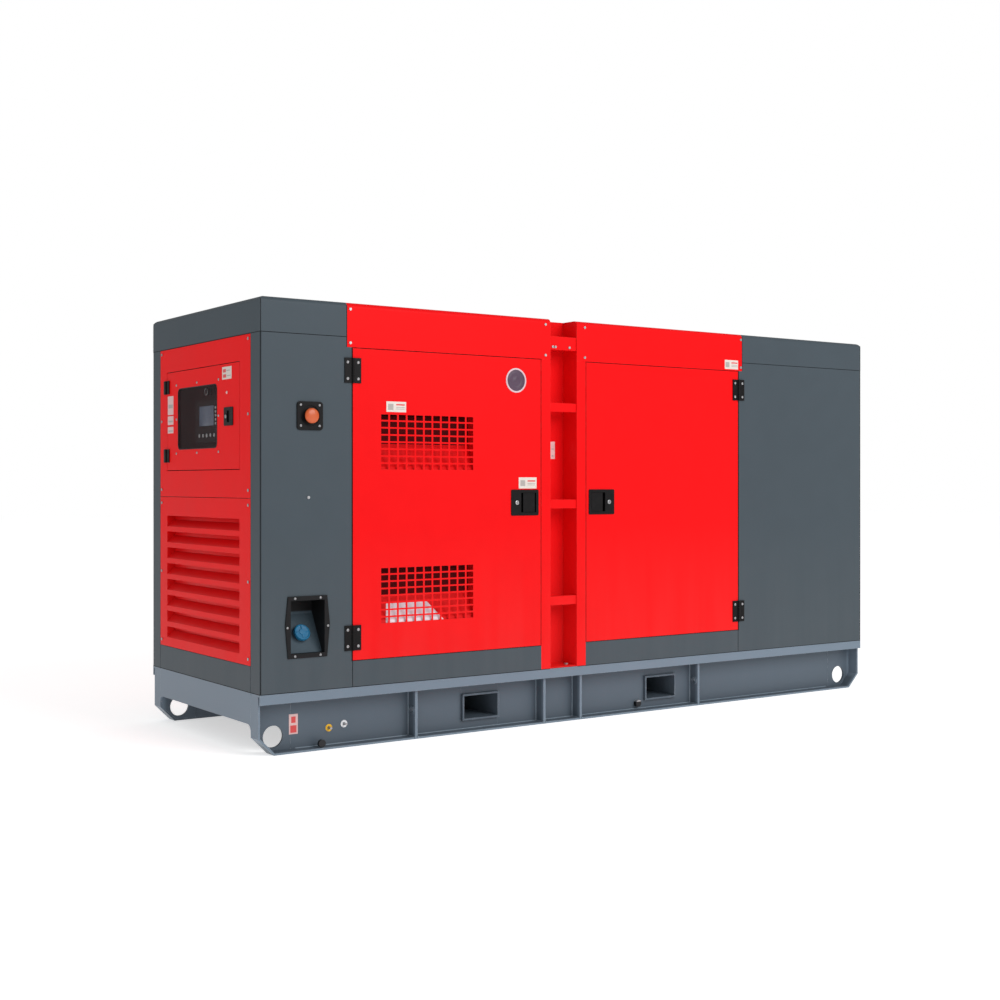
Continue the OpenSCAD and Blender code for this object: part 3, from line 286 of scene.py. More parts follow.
def turned(bm, place, outward, outline, sides=32, flutes=0.0):
    """Turns a closed solid from (radius, height) points about a line that leaves place along outward."""
    turn = Vector(outward).to_track_quat("Z", "Y").to_matrix().to_4x4()
    outline = list(outline)
    if outline[0][0] > 0 and outline[-1][0] > 0:
        outline.append(outline[0])
    elif outline[0][0] > 0:
        outline.insert(0, (0, outline[0][1]))
    elif outline[-1][0] > 0:
        outline.append((0, outline[-1][1]))
    lathe = bmesh.new()
    verts = [lathe.verts.new((radius, 0, height)) for radius, height in outline]
    edges = [lathe.edges.new(pair) for pair in zip(verts, verts[1:])]
    bmesh.ops.spin(lathe, geom=verts + edges, cent=(0, 0, 0), axis=(0, 0, 1), dvec=(0, 0, 0),
                   angle=math.tau, steps=sides, use_merge=True)
    bmesh.ops.remove_doubles(lathe, verts=lathe.verts, dist=0.000005)
    bmesh.ops.recalc_face_normals(lathe, faces=lathe.faces)
    widest = max(radius for radius, height in outline)
    for vert in lathe.verts:
        if flutes and vert.co.xy.length > widest * 0.9:
            step = round(math.atan2(vert.co.y, vert.co.x) / math.tau * sides) % 2
            vert.co.xy *= 1 - flutes * step
    bmesh.ops.transform(lathe, matrix=Matrix.Translation(Vector(place)) @ turn, verts=lathe.verts)
    join(bm, lathe)


def piece(name, bm, body, slot, *finishes, smooth=35):
    """Makes a bmesh a piece that rides on a body; edges under the angle are shaded smooth."""
    limit = math.radians(smooth)
    for face in bm.faces:
        face.smooth = True
    for edge in bm.edges:
        edge.smooth = len(edge.link_faces) != 2 or edge.calc_face_angle(0) < limit
    mesh = bpy.data.meshes.new(name)
    bm.to_mesh(mesh)
    bm.free()
    for finish in finishes:
        mesh.materials.append(finish.material)
    made = bpy.data.objects.new(name, mesh)
    bpy.context.scene.collection.objects.link(made)
    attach(made, body)
    return made


# Weld beads: a fillet bead runs up both sides of each rib, out along the rib's foot and along the
# web's foot, in an enamel a shade lighter than the base: a painted highlight on the beads.

bead_highlight_enamel = paint("bead_highlight_enamel", (0.19, 0.245, 0.30), 0.34, worn_and_highlight_grey, 0.2, 0.00025, 0.30)
web_y, foot_z, flange_z = 0.499, 0.008, 0.242
ribs, rib_t, bead_end = (-1.022, -0.344, -0.136, 0.595), 0.012, 1.560
bead_z = foot_z + 0.0008
starts = [-bead_end] + [x + rib_t + 0.002 for x in ribs]
ends = [x - 0.002 for x in ribs] + [bead_end]
bm = bmesh.new()
for out in (-1, 1):
    for rib_x in ribs:
        for x in (rib_x - 0.001, rib_x + rib_t + 0.001):
            y = out * (web_y + 0.001)
            rod(bm, (x, y, foot_z + 0.002), (x, y, flange_z - 0.002), 0.0032, 8)
            rod(bm, (x, out * (web_y + 0.004), bead_z), (x, out * (web_y + 0.064), bead_z), 0.0028, 8)
    for x0, x1 in zip(starts, ends):
        y = out * (web_y + 0.0008)
        rod(bm, (x0, y, bead_z), (x1, y, bead_z), 0.0030, 8)
piece("weld_beads", bm, "frame", "base_grey", bead_highlight_enamel)

# Fuel tank: one blow-moulded black tank slung between the fork pockets, matt and slightly
# pebbled, with soft scuffs from handling.


def moulded(name, colour, rough, pebble=900, depth=0.00008, gloss=0.3):
    """Moulded plastic: a fine pebbled skin with soft scuffs that catch the light."""
    made = Finish(name, Specular_IOR_Level=gloss)
    scuff = made.place.noise(26, 4).ramp((0.50, 0), (0.75, 1))
    lighter_edges = (made.edges(0.0012) * 0.5).clip()
    tone = scuff.between(shade(colour, 0.9), shade(colour, 1.35))
    made.lead(Base_Color=lighter_edges.between(tone, shade(colour, 2.2)))
    made.lead(Roughness=(scuff * 0.16 + rough).clip())
    made.bump(made.place.noise(pebble, 1), depth)
    return made


tank_plastic = moulded("tank_plastic", (0.022, 0.022, 0.024), 0.55)
tank_plastic.on("fuel_tank")

# Engine: cast iron block, head and sump in grey enamel with a sandy skin, on six rubber mounts.
# The rocker cover, filters, starter, injection pump and its pipes are bolted on.


def casting(name, colour, rough, sand_depth=0.0004):
    """Enamel over a sand casting: coarse skin, oily darker patches, bright rubbed edges."""
    made = Finish(name, Specular_IOR_Level=0.35)
    sand = made.place.noise(230, 4, 0.6)
    oil = made.place.noise(5, 5).ramp((0.48, 0), (0.66, 1))
    rubbed = (made.edges(0.003) * made.place.noise(30, 3).ramp((0.4, 0), (0.6, 1))).clip() * 0.6
    tone = oil.between(shade(colour, 1.1), shade(colour, 0.55))
    made.lead(Base_Color=rubbed.between(tone, (0.34, 0.34, 0.34, 1)))
    made.lead(Roughness=(oil * -0.18 + rough + sand * 0.08).clip())
    made.bump(sand, sand_depth)
    return made


iron = casting("block_enamel", (0.135, 0.145, 0.150), 0.55)
iron.on("engine_block", "cylinder_head")


def rubber(name, colour=(0.012, 0.012, 0.013)):
    """Moulded rubber: matt, with pale bloom in patches."""
    made = Finish(name, Specular_IOR_Level=0.3)
    bloom = made.place.noise(40, 5).ramp((0.45, 0), (0.8, 1))
    made.lead(Base_Color=bloom.between(shade(colour, 1), shade(colour, 3.2)))
    made.lead(Roughness=(bloom * 0.2 + 0.62).clip())
    made.bump(made.place.noise(700, 2), 0.00006)
    return made


mount_rubber = rubber("mount_rubber")
mount_rubber.on("engine_mounts", "fan_belt")


def metal(name, colour, rough, grain=(1, 1, 40), depth=0.00002):
    """Bare or plated metal: fine drawn grain, dull patches, and a little grime held in the edges."""
    made = Finish(name, Metallic=1.0)
    lines = made.place.stretch(*grain).noise(45, 3)
    patch = made.place.noise(14, 4)
    grime = (made.edges(0.0015) * patch.ramp((0.4, 0), (0.7, 1))).clip() * 0.5
    tone = patch.between(shade(colour, 0.82), shade(colour, 1.08))
    made.lead(Base_Color=grime.between(tone, (0.35, 0.33, 0.30, 1)))
    made.lead(Roughness=(lines * 0.14 + patch * 0.12 + rough - 0.1).clip())
    made.bump(lines, depth)
    return made


bright_steel = metal("bright_steel", (0.62, 0.63, 0.64), 0.30)
bright_steel.on("crankshaft")
head_low, head_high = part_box("cylinder_head")
block_low, block_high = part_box("engine_block")
cylinders, crankcase_y = 6, 0.190

cover_paint = casting("cover_enamel", (0.10, 0.105, 0.11), 0.42, 0.00015)
cover_y, flange_top = 0.105, head_high.z + 0.014
bm = bmesh.new()
slab(bm, (head_low.x + 0.03, -cover_y, head_high.z), (head_high.x - 0.03, cover_y, flange_top), 0.004)
slab(bm, (head_low.x + 0.05, -cover_y + 0.02, flange_top),
     (head_high.x - 0.05, cover_y - 0.02, flange_top + 0.046), 0.018, 4)
for i in range(7):
    x = head_low.x + 0.11 + i * 0.09
    slab(bm, (x, -cover_y + 0.03, flange_top + 0.041),
         (x + 0.012, cover_y - 0.03, flange_top + 0.052), 0.004)
turned(bm, (head_high.x - 0.11, 0, flange_top + 0.044), (0, 0, 1),
       ((0, 0.038), (0.026, 0.038), (0.030, 0.034), (0.030, 0.012), (0.022, 0.010), (0.022, 0)))
piece("rocker_cover", bm, "frame", "engine_grey", cover_paint)

steel_dark = metal("blackened_steel", (0.16, 0.16, 0.165), 0.42)
bm = bmesh.new()
for i in range(cylinders):
    turned(bm, (block_low.x + 0.40 + i * 0.11, -crankcase_y, 0.80), (0, -1, 0),
           ((0, 0.004), (0.020, 0.004), (0.024, 0.009), (0.027, 0.009), (0.027, 0)), 24)
piece("core_plugs", bm, "frame", "steel_bright", steel_dark)

filter_ochre = moulded("filter_enamel", (0.55, 0.30, 0.03), 0.35, 300, 0.00003)
bm = bmesh.new()
for x in (-0.10, 0.02):
    turned(bm, (x, -0.245, 0.70), (0, 0, -1),
           ((0, 0), (0.030, 0), (0.046, 0.006), (0.048, 0.014), (0.048, 0.130), (0.044, 0.142),
            (0.030, 0.150), (0, 0.152)))
piece("oil_filters", bm, "frame", "fan_yellow", filter_ochre)
bm = bmesh.new()
slab(bm, (-0.16, -0.30, 0.700), (0.08, -crankcase_y + 0.0005, 0.745), 0.010, 3)
piece("filter_head", bm, "frame", "engine_grey", iron)

bm = bmesh.new()
turned(bm, (-0.30, -0.255, 0.56), (1, 0, 0),
       ((0, 0), (0.040, 0), (0.058, 0.012), (0.062, 0.030), (0.062, 0.190), (0.052, 0.205),
        (0.048, 0.240), (0, 0.245)))
turned(bm, (-0.27, -0.245, 0.645), (1, 0, 0),
       ((0, 0), (0.024, 0.002), (0.026, 0.010), (0.026, 0.110), (0, 0.112)), 24)
piece("starter_motor", bm, "frame", "cabinet_black", cover_paint)

pump_y, pump_top, outlet_pitch = 0.245, 0.84, 0.048
outlets = [-0.03 + i * outlet_pitch for i in range(cylinders)]
bm = bmesh.new()
slab(bm, (-0.06, crankcase_y - 0.001, 0.70), (0.24, 0.300, pump_top), 0.012, 3)
for x in outlets:
    turned(bm, (x, pump_y, pump_top - 0.002), (0, 0, 1),
           ((0.014, 0), (0.014, 0.020), (0.009, 0.024), (0.009, 0.036), (0, 0.036)), 12)
pump_aluminium = metal("pump_aluminium", (0.50, 0.51, 0.52), 0.45, depth=0.0001)
piece("injection_pump", bm, "frame", "engine_grey", pump_aluminium)


def hose(name, points, radius, slot, finish, sides=12):
    """A pipe or hose of one radius on a smooth curve through its control points, closed at its ends."""
    path = bpy.data.curves.new(name, "CURVE")
    path.dimensions, path.bevel_depth = "3D", radius
    path.bevel_resolution, path.resolution_u, path.use_fill_caps = sides // 4 - 1, 10, True
    spline = path.splines.new("NURBS")
    spline.points.add(len(points) - 1)
    for point, place in zip(spline.points, points):
        point.co = (*place, 1)
    spline.order_u, spline.use_endpoint_u = 4, True
    holder = bpy.data.objects.new(name + "_path", path)
    mesh = bpy.data.meshes.new_from_object(holder)
    bpy.data.objects.remove(holder)
    bm = bmesh.new()
    bm.from_mesh(mesh)
    bpy.data.meshes.remove(mesh)
    bmesh.ops.remove_doubles(bm, verts=bm.verts, dist=0.000001)
    bmesh.ops.recalc_face_normals(bm, faces=bm.faces)
    return piece(name, bm, "frame", slot, finish, smooth=60)


for i, x in enumerate(outlets):
    port_x = head_low.x + 0.13 + i * 0.10
    route = [(x, pump_y, 0.87), (x, pump_y, 0.93 + 0.012 * i), (port_x, 0.250, 0.99),
             (port_x, 0.232, 1.060), (port_x, 0.160, 1.085), (port_x, 0.080, 1.085)]
    hose(f"injector_pipe_{i + 1}", route, 0.0035, "steel_bright", bright_steel, 8)

# Generator: rolled steel frame in blue enamel with a cast end bell and two welded bands; the
# terminal box on top has four glands. The rotor turns inside on the crankshaft.

generator_blue = casting("generator_enamel", (0.035, 0.085, 0.18), 0.36, 0.0001)
generator_blue.on("generator_housing")
copper = metal("varnished_copper", (0.55, 0.25, 0.10), 0.42, (40, 1, 1), 0.0003)
copper.on("generator_rotor")
gen_low, gen_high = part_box("generator_housing")
rotor_low, rotor_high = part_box("generator_rotor")
gen_z, gen_r, guard_bars = (rotor_low.z + rotor_high.z) / 2, 0.255, 24
bm = bmesh.new()
for i in range(guard_bars):
    turn = math.tau * i / guard_bars
    middle = Vector((gen_low.x - 0.004, 0, gen_z))
    direction = Vector((0, math.cos(turn), math.sin(turn)))
    rod(bm, middle + direction * 0.10, middle + direction * 0.20, 0.006, 8)
for radius in (0.095, 0.205, 0.245):
    turned(bm, (gen_low.x, 0, gen_z), (-1, 0, 0),
           ((radius - 0.016, 0), (radius, 0), (radius, 0.010), (radius - 0.016, 0.010)), 64)
piece("air_guard", bm, "frame", "cabinet_black", steel_dark)
bm = bmesh.new()
for x in (gen_low.x + 0.06, gen_high.x - 0.06):
    turned(bm, (x, 0, gen_z), (1, 0, 0),
           ((gen_r, -0.012), (gen_r + 0.010, -0.012), (gen_r + 0.010, 0.012), (gen_r, 0.012)), 72)
piece("frame_bands", bm, "frame", "generator_blue", generator_blue)
bm = bmesh.new()
lid_top = gen_high.z + 0.004
slab(bm, (gen_low.x + 0.130, -0.160, gen_high.z), (gen_high.x - 0.130, 0.160, lid_top), 0.0015)
for x in (gen_low.x + 0.15, gen_high.x - 0.15):
    for y in (-0.145, 0.145):
        rod(bm, (x, y, lid_top), (x, y, gen_high.z + 0.010), 0.008, 6)
piece("terminal_lid", bm, "frame", "generator_blue", generator_blue)
gland_nylon = moulded("gland_nylon", (0.012, 0.012, 0.013), 0.48, 500, 0.00004)
bm = bmesh.new()
for y in (-0.09, -0.03, 0.03, 0.09):
    turned(bm, (gen_low.x + 0.120, y, gen_high.z - 0.05), (-1, 0, 0),
           ((0, 0), (0.023, 0), (0.023, 0.014), (0.018, 0.022), (0.0145, 0.034), (0, 0.034)), 12)
piece("lead_glands", bm, "frame", "hinge_black", gland_nylon)

# Cooling: a belt turns a moulded eight-blade fan behind a sheet steel shroud; the radiator's brazed
# core stands across the air outlet, with a filler cap, a top and a bottom hose.

fan_plastic = moulded("fan_plastic", (0.62, 0.36, 0.03), 0.40)
fan_plastic.on("cooling_fan")
core_paint = Finish("radiator_core", Specular_IOR_Level=0.3)
tube_pitch, louvre_pitch = 0.011, 0.0032
tubes = core_paint.place.axis("Y") * (math.tau / tube_pitch)
louvres = core_paint.place.axis("Z") * (math.tau / louvre_pitch)
ripple = tubes.sine() * 0.7 + louvres.sine() * 0.3
# Painted shade: the core is darkened in the troughs between its tubes and louvres.
ripple_shade = (ripple * 0.5 + 0.5).clip()
core_paint.lead(Base_Color=ripple_shade.between((0.006, 0.006, 0.007, 1), (0.055, 0.057, 0.060, 1)),
                Roughness=(core_paint.place.noise(8, 4) * 0.25 + 0.42).clip())
core_paint.bump(ripple, 0.0012)
core_paint.on("radiator")
rad_low, rad_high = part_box("radiator")
rad_front = rad_high.x - 0.100
radiator_tank = moulded("tank_enamel", (0.020, 0.020, 0.022), 0.38, 200, 0.00003)
bm = bmesh.new()
for foot_z, top_z in ((rad_high.z - 0.080, rad_high.z + 0.012), (rad_low.z + 0.001, rad_low.z + 0.080)):
    slab(bm, (rad_front - 0.006, rad_low.y - 0.012, foot_z),
         (rad_high.x + 0.006, rad_high.y + 0.012, top_z), 0.012, 4)
for y in (rad_low.y, rad_high.y):
    slab(bm, (rad_front - 0.004, y - 0.012, rad_low.z + 0.080),
         (rad_high.x + 0.004, y + 0.012, rad_high.z - 0.080), 0.004)
turned(bm, ((rad_front + rad_high.x) / 2, 0.20, rad_high.z + 0.010), (0, 0, 1),
       ((0.020, 0), (0.020, 0.016), (0.032, 0.018), (0.034, 0.024), (0.034, 0.034), (0.028, 0.040),
        (0, 0.041)), 24)
piece("radiator_tanks", bm, "frame", "radiator_core", radiator_tank)
hose_rubber = rubber("hose_rubber", (0.014, 0.014, 0.015))
hose("top_hose", [(block_high.x - 0.10, 0.12, 1.01), (block_high.x + 0.02, 0.14, 1.12),
                  (0.56, 0.16, 1.20), (rad_front - 0.004, 0.17, rad_high.z - 0.05)],
     0.026, "rubber_black", hose_rubber, 16)
hose("bottom_hose", [(block_high.x - 0.03, -0.13, 0.50), (0.50, -0.16, 0.42), (0.58, -0.20, 0.34),
                     (rad_front - 0.004, -0.22, 0.30)],
     0.028, "rubber_black", hose_rubber, 16)

# Air cleaner and exhaust: a black moulded canister on two feet, and a welded mild steel silencer
# whose pipe has gone straw, blue and rust brown from the heat.


def hoop(bm, place, outward, radius, sides):
    """A raised band 12 mm wide round a drum of this radius."""
    turned(bm, place, outward,
           ((radius, 0), (radius + 0.004, 0.002), (radius + 0.004, 0.010), (radius, 0.012)), sides)


cleaner_plastic = moulded("cleaner_plastic", (0.020, 0.020, 0.022), 0.46)
cleaner_plastic.on("air_cleaner")
air_low, air_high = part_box("air_cleaner")
air_r = 0.105
bm = bmesh.new()
for x in (0.004, 0.060, 0.120, 0.180, 0.240, 0.300):
    hoop(bm, (air_low.x + x, (air_low.y + air_high.y) / 2, air_high.z - air_r), (1, 0, 0), air_r, 48)
piece("canister_ribs", bm, "frame", "tank_black", cleaner_plastic)
heat_steel = Finish("heated_steel", Metallic=0.85)
heat = heat_steel.place.noise(6, 5)
rust = heat_steel.place.noise(22, 6, 0.65).ramp((0.46, 0), (0.62, 1))
tint = heat.between((0.20, 0.15, 0.11, 1), (0.11, 0.09, 0.09, 1))
heat_steel.lead(Base_Color=rust.between(tint, (0.155, 0.060, 0.028, 1)),
                Roughness=(rust * 0.35 + heat * 0.2 + 0.32).clip())
heat_steel.edges(0.002)
heat_steel.bump(rust + heat_steel.place.noise(300, 3) * 0.4, 0.0003)
heat_steel.on("exhaust_silencer", "rain_cap")
silencer_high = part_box("exhaust_silencer")[1]
silencer_r, silencer_z = 0.130, 1.510
bm = bmesh.new()
for y in (-0.40, -0.20, 0.20, 0.388):
    hoop(bm, (silencer_high.x - silencer_r, y, silencer_z), (0, 1, 0), silencer_r, 64)
piece("silencer_bands", bm, "frame", "exhaust_steel", heat_steel)

# Battery: a moulded pale case between the rail and the generator, with a black lid, six plugs and
# two clamps on its lead posts.

battery_low, battery_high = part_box("battery")
case_white = moulded("battery_case", (0.60, 0.60, 0.57), 0.42, 400, 0.00004)
case_white.on("battery")
case_top = battery_high.z - 0.018
bm = bmesh.new()
slab(bm, (battery_low.x - 0.003, battery_low.y - 0.003, case_top - 0.030),
     (battery_high.x + 0.003, battery_high.y + 0.003, case_top + 0.004), 0.005, 3)
plug_y = (battery_low.y + battery_high.y) / 2 + 0.02
for i in range(6):
    turned(bm, (battery_low.x + 0.045 + i * 0.038, plug_y, case_top + 0.003), (0, 0, 1),
           ((0.014, 0), (0.014, 0.006), (0.011, 0.008), (0, 0.008)), 16)
piece("battery_lid", bm, "frame", "cabinet_black", cleaner_plastic)
bm = bmesh.new()
post_y, post_z = battery_low.y + 0.085, battery_high.z
for x in (battery_low.x + 0.04, battery_high.x - 0.04):
    turned(bm, (x, post_y, post_z - 0.016), (0, 0, 1),
           ((0, 0), (0.019, 0), (0.019, 0.013), (0.012, 0.017), (0, 0.017)), 20)
    slab(bm, (x - 0.010, post_y - 0.004, post_z - 0.014),
         (x + 0.010, post_y + 0.036, post_z - 0.002), 0.002)
piece("battery_clamps", bm, "frame", "steel_bright", bright_steel)

# Canopy: 3 mm sheet, folded, welded and powder coated in signal red and slate grey before it is
# bolted on the base; the coat is smooth with a slight orange peel.

canopy_red = paint("canopy_red", (0.750, 0.0050, 0.0068), 0.38, (0.82, 0.07, 0.06, 1), 0.05)
canopy_red.on("door_headers", "ladder_channels", "ladder_rungs", "roof_centre", "control_panel",
              "louvre_panel", "front_left_door", "front_right_door", "rear_left_door",
              "rear_right_door", "control_door")
canopy_grey = paint("canopy_grey", (0.054, 0.070, 0.083), 0.44, (0.17, 0.19, 0.21, 1), 0.12)
canopy_grey.on("front_left_panel", "side_panels", "corner_posts", "lower_panels", "roof_caps",
               "right_end_panel")

# Fixings: zinc plated screws and nuts all round the canopy; the two plugs under the rails, as all
# fixings lower than 45 mm, are coloured near black, and the two earth studs carry a yellow and a white
# ring.

zinc = Finish("zinc_plate", Metallic=0.75)
tarnish = zinc.place.noise(60, 3)
# Fixings lower than 45 mm are coloured near black.
under = ((zinc.place.axis("Z") * -1 + 0.045) * 900).clip()
plated = tarnish.between((0.30, 0.30, 0.31, 1), (0.46, 0.46, 0.47, 1))
zinc.lead(Base_Color=under.between(plated, (0.03, 0.03, 0.032, 1)),
          Roughness=(tarnish * 0.3 + 0.22).clip())
zinc.edges(0.0008)
zinc.bump(zinc.place.noise(800, 2), 0.00003)
zinc.on("fasteners")


def plain(name, colour, rough, grain=600, depth=0.00002, **constants):
    """Smooth paint, vinyl or moulding with a faint mottle, and rubbed edges a shade lighter."""
    made = Finish(name, **constants)
    mottle = made.place.noise(35, 4)
    rub = (made.edges(0.0008) * 0.4).clip()
    tone = mottle.between(shade(colour, 0.88), shade(colour, 1.08))
    made.lead(Base_Color=rub.between(tone, shade(colour, 1.5)))
    made.lead(Roughness=(mottle * 0.18 + rough - 0.08).clip())
    made.bump(made.place.noise(grain, 2), depth)
    return made


def screws(name, body, outward, places, radius=0.0065, height=0.0035):
    """Button-head socket screws in one piece, each with a dished socket."""
    bm = bmesh.new()
    for place in places:
        turned(bm, place, outward,
               ((0, height * 0.4), (radius * 0.36, height * 0.4), (radius * 0.42, height),
                (radius * 0.72, height * 0.85), (radius, height * 0.25), (radius, -0.0006),
                (0, -0.0006)), 10)
    return piece(name, bm, body, "steel_bright", zinc)


def rail_y(x, z):
    """Y of the front rail's surface, met by a line from the front at an X and Z."""
    met, place, normal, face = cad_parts["side_rails"].ray_cast((x, -0.8, z), (0, 1, 0))
    return place.y


for name, x, z, slot, colour in (
        ("yellow", -1.405, 0.078, "stop_yellow", (0.75, 0.42, 0.01)),
        ("white", -1.334, 0.088, "battery_white", (0.75, 0.76, 0.78))):
    bm = bmesh.new()
    turned(bm, (x, rail_y(x + 0.009, z), z), (0, -1, 0),
           ((0.0065, 0), (0.0155, 0), (0.0155, 0.0008), (0.0065, 0.0008)), 28)
    piece(f"earth_ring_{name}", bm, "frame", slot, plain(f"ring_{name}", colour, 0.4))

# Labels: blank vinyl plates, cream or white, each with a coloured band and pale grey bars where a
# maker prints words; they are stuck flat on the paint.

vinyl = plain("label_vinyl", (0.64, 0.58, 0.53), 0.35)
ink_red = plain("label_red", (0.62, 0.05, 0.05), 0.35)
ink_grey = plain("label_grey", (0.36, 0.33, 0.31), 0.4)
# Pink: pale vinyl with a painted reflection of the red paint around it.
vinyl_red_reflection = plain("label_red_reflection", (0.66, 0.44, 0.43), 0.35)


def label(name, body, centre, across, size, parts, ground=vinyl):
    """An upright plate and its patches; parts are (across, up, width, height, finish) from its middle."""
    across, up = Vector(across), Vector((0, 0, 1))
    outward = across.cross(up)
    bm = bmesh.new()
    finishes = [ground]
    for i, (a, u, wide, tall, finish) in enumerate([(0, 0, *size, ground)] + parts):
        middle = Vector(centre) + across * a + up * u + outward * (0.00030 + 0.00022 * (i > 0))
        half = across * wide / 2 + up * tall / 2 + outward * (0.00012 if i else 0.00030)
        first = len(bm.faces)
        slab(bm, middle - half, middle + half)
        if finish not in finishes:
            finishes.append(finish)
        bm.faces.ensure_lookup_table()
        for face in bm.faces[first:]:
            face.material_index = finishes.index(finish)
    return piece(name, bm, body, "battery_white", *finishes)


side_y, end_x = 0.575, 1.750
to_right, to_front = (1, 0, 0), (0, -1, 0)
bars = [(0.020, 0.009, 0.042, 0.006, ink_red), (0.020, -0.002, 0.042, 0.003, ink_grey),
        (0.020, -0.009, 0.042, 0.003, ink_grey), (-0.027, -0.001, 0.026, 0.026, ink_grey)]
label("door_label", "front_left_door", (-1.126, -side_y, 1.415), to_right, (0.096, 0.044), bars)
label("latch_label", "front_left_door", (-0.445, -side_y, 1.094), to_right, (0.098, 0.050), bars)
label("header_label", "frame", (0.8045, -side_y, 1.6845), to_right, (0.090, 0.045), bars)
label("ladder_label", "frame", (-0.2275, -0.469, 1.2455), to_right, (0.026, 0.080),
      [(0, -0.026, 0.010, 0.008, ink_grey), (0, 0.006, 0.012, 0.006, ink_grey)], vinyl_red_reflection)
label("rail_label", "frame", (-1.567, rail_y(-1.567, 0.110), 0.1085), to_right, (0.040, 0.082),
      [(0, -0.020, 0.028, 0.030, ink_red), (0, 0.018, 0.020, 0.026, ink_red)], vinyl_red_reflection)
label("panel_label_top", "control_door", (-end_x, -0.2545, 1.551), to_front, (0.094, 0.052),
      [(-0.024, 0.010, 0.030, 0.014, ink_red), (0.014, 0.010, 0.036, 0.004, ink_grey),
       (-0.022, -0.012, 0.032, 0.014, ink_red), (0.020, -0.012, 0.036, 0.004, ink_grey)])
for name, low_z, high_z in (("upper", 1.400, 1.484), ("middle", 1.355, 1.394), ("lower", 1.317, 1.346)):
    tall = high_z - low_z
    label(f"panel_label_{name}", "control_door", (-end_x, 0.362, (low_z + high_z) / 2), to_front,
          (0.066, tall), [(0, -0.004, 0.050, tall * 0.2, ink_grey)], vinyl_red_reflection)

# Badge: a round pressed plate on the first door, made of enamelled sheet with a light rolled ring
# about a dark grey-violet face that is dished between two raised lines.

badge = (-0.509, -side_y, 1.552)
bm = bmesh.new()
turned(bm, badge, (0, -1, 0),
       ((0.0475, 0), (0.055, 0), (0.055, 0.002), (0.053, 0.003), (0.049, 0.003), (0.0475, 0.002)), 64)
piece("badge_ring", bm, "front_left_door", "battery_white", plain("badge_rim", (0.60, 0.44, 0.48), 0.35))
bm = bmesh.new()
turned(bm, badge, (0, -1, 0),
       ((0, 0.0022), (0.012, 0.0020), (0.014, 0.0012), (0.030, 0.0012), (0.032, 0.0019),
        (0.036, 0.0019), (0.038, 0.0012), (0.0478, 0.0010), (0.0478, 0)), 48)
piece("badge_face", bm, "front_left_door", "cabinet_black",
      plain("badge_enamel", (0.085, 0.055, 0.085), 0.3, Specular_IOR_Level=0.2))

# Doors: welded trays in the canopy red, lined with black acoustic foam, sealed by a rubber bulb on
# the lip and hung on two black cast hinges; a near black strip in the gap round each door is
# painted shade. The latch is a flush paddle with a key lock.

black_cast = moulded("black_casting", (0.0050, 0.0046, 0.0050), 0.40, 700, 0.00005, 0.13)
black_cast.on("fixed_hinges", "stop_bezel")
for door in ("front_left", "front_right", "rear_left", "rear_right", "control"):
    black_cast.on(f"{door}_hardware", f"{door}_paddle")
foam = Finish("acoustic_foam", Specular_IOR_Level=0.1)
cells = foam.place.noise(95, 2)
foam.lead(Base_Color=cells.between((0.012, 0.012, 0.013, 1), (0.035, 0.035, 0.037, 1)),
          Roughness=(cells * 0.1 + 0.88).clip())
foam.bump(cells, 0.006)
seal_rubber = rubber("seal_rubber")
gap_shade = plain("gap_shade", (0.005, 0.003, 0.003), 0.85, Specular_IOR_Level=0.05)


def loop(bm, low, high, corner, width, near, far, flat):
    """A rounded rectangular ring from near to far along the axis that it lies flat against."""
    ring = bmesh.new()
    across, up = [axis for axis in range(3) if axis != flat]
    size = [abs(high[axis] - low[axis]) + 2 * width for axis in (across, up)]
    middle = [(low[axis] + high[axis]) / 2 for axis in (across, up)]
    sheet = bmesh.ops.create_grid(ring, x_segments=1, y_segments=1, size=0.5)["verts"]
    bmesh.ops.scale(ring, vec=(*size, 1), verts=sheet)
    bmesh.ops.translate(ring, vec=(*middle, 0), verts=sheet)
    bmesh.ops.bevel(ring, geom=ring.verts[:], offset=corner + width, affect="VERTICES", segments=6,
                    profile=0.5, material=-1)
    inside = ring.faces[:]
    bmesh.ops.inset_region(ring, faces=inside, thickness=width, use_boundary=True,
                           use_even_offset=True)
    bmesh.ops.delete(ring, geom=inside, context="FACES_ONLY")
    wall = bmesh.ops.extrude_face_region(ring, geom=ring.faces[:])["geom"]
    raised = [vert for vert in wall if isinstance(vert, bmesh.types.BMVert)]
    bmesh.ops.translate(ring, vec=(0, 0, far - near), verts=raised)
    for vert in ring.verts:
        place = [0, 0, 0]
        place[across], place[up], place[flat] = vert.co.x, vert.co.y, vert.co.z + near
        vert.co = place
    bmesh.ops.recalc_face_normals(ring, faces=ring.faces)
    if ring.calc_volume(signed=True) < 0:
        bmesh.ops.reverse_faces(ring, faces=ring.faces)
    join(bm, ring)


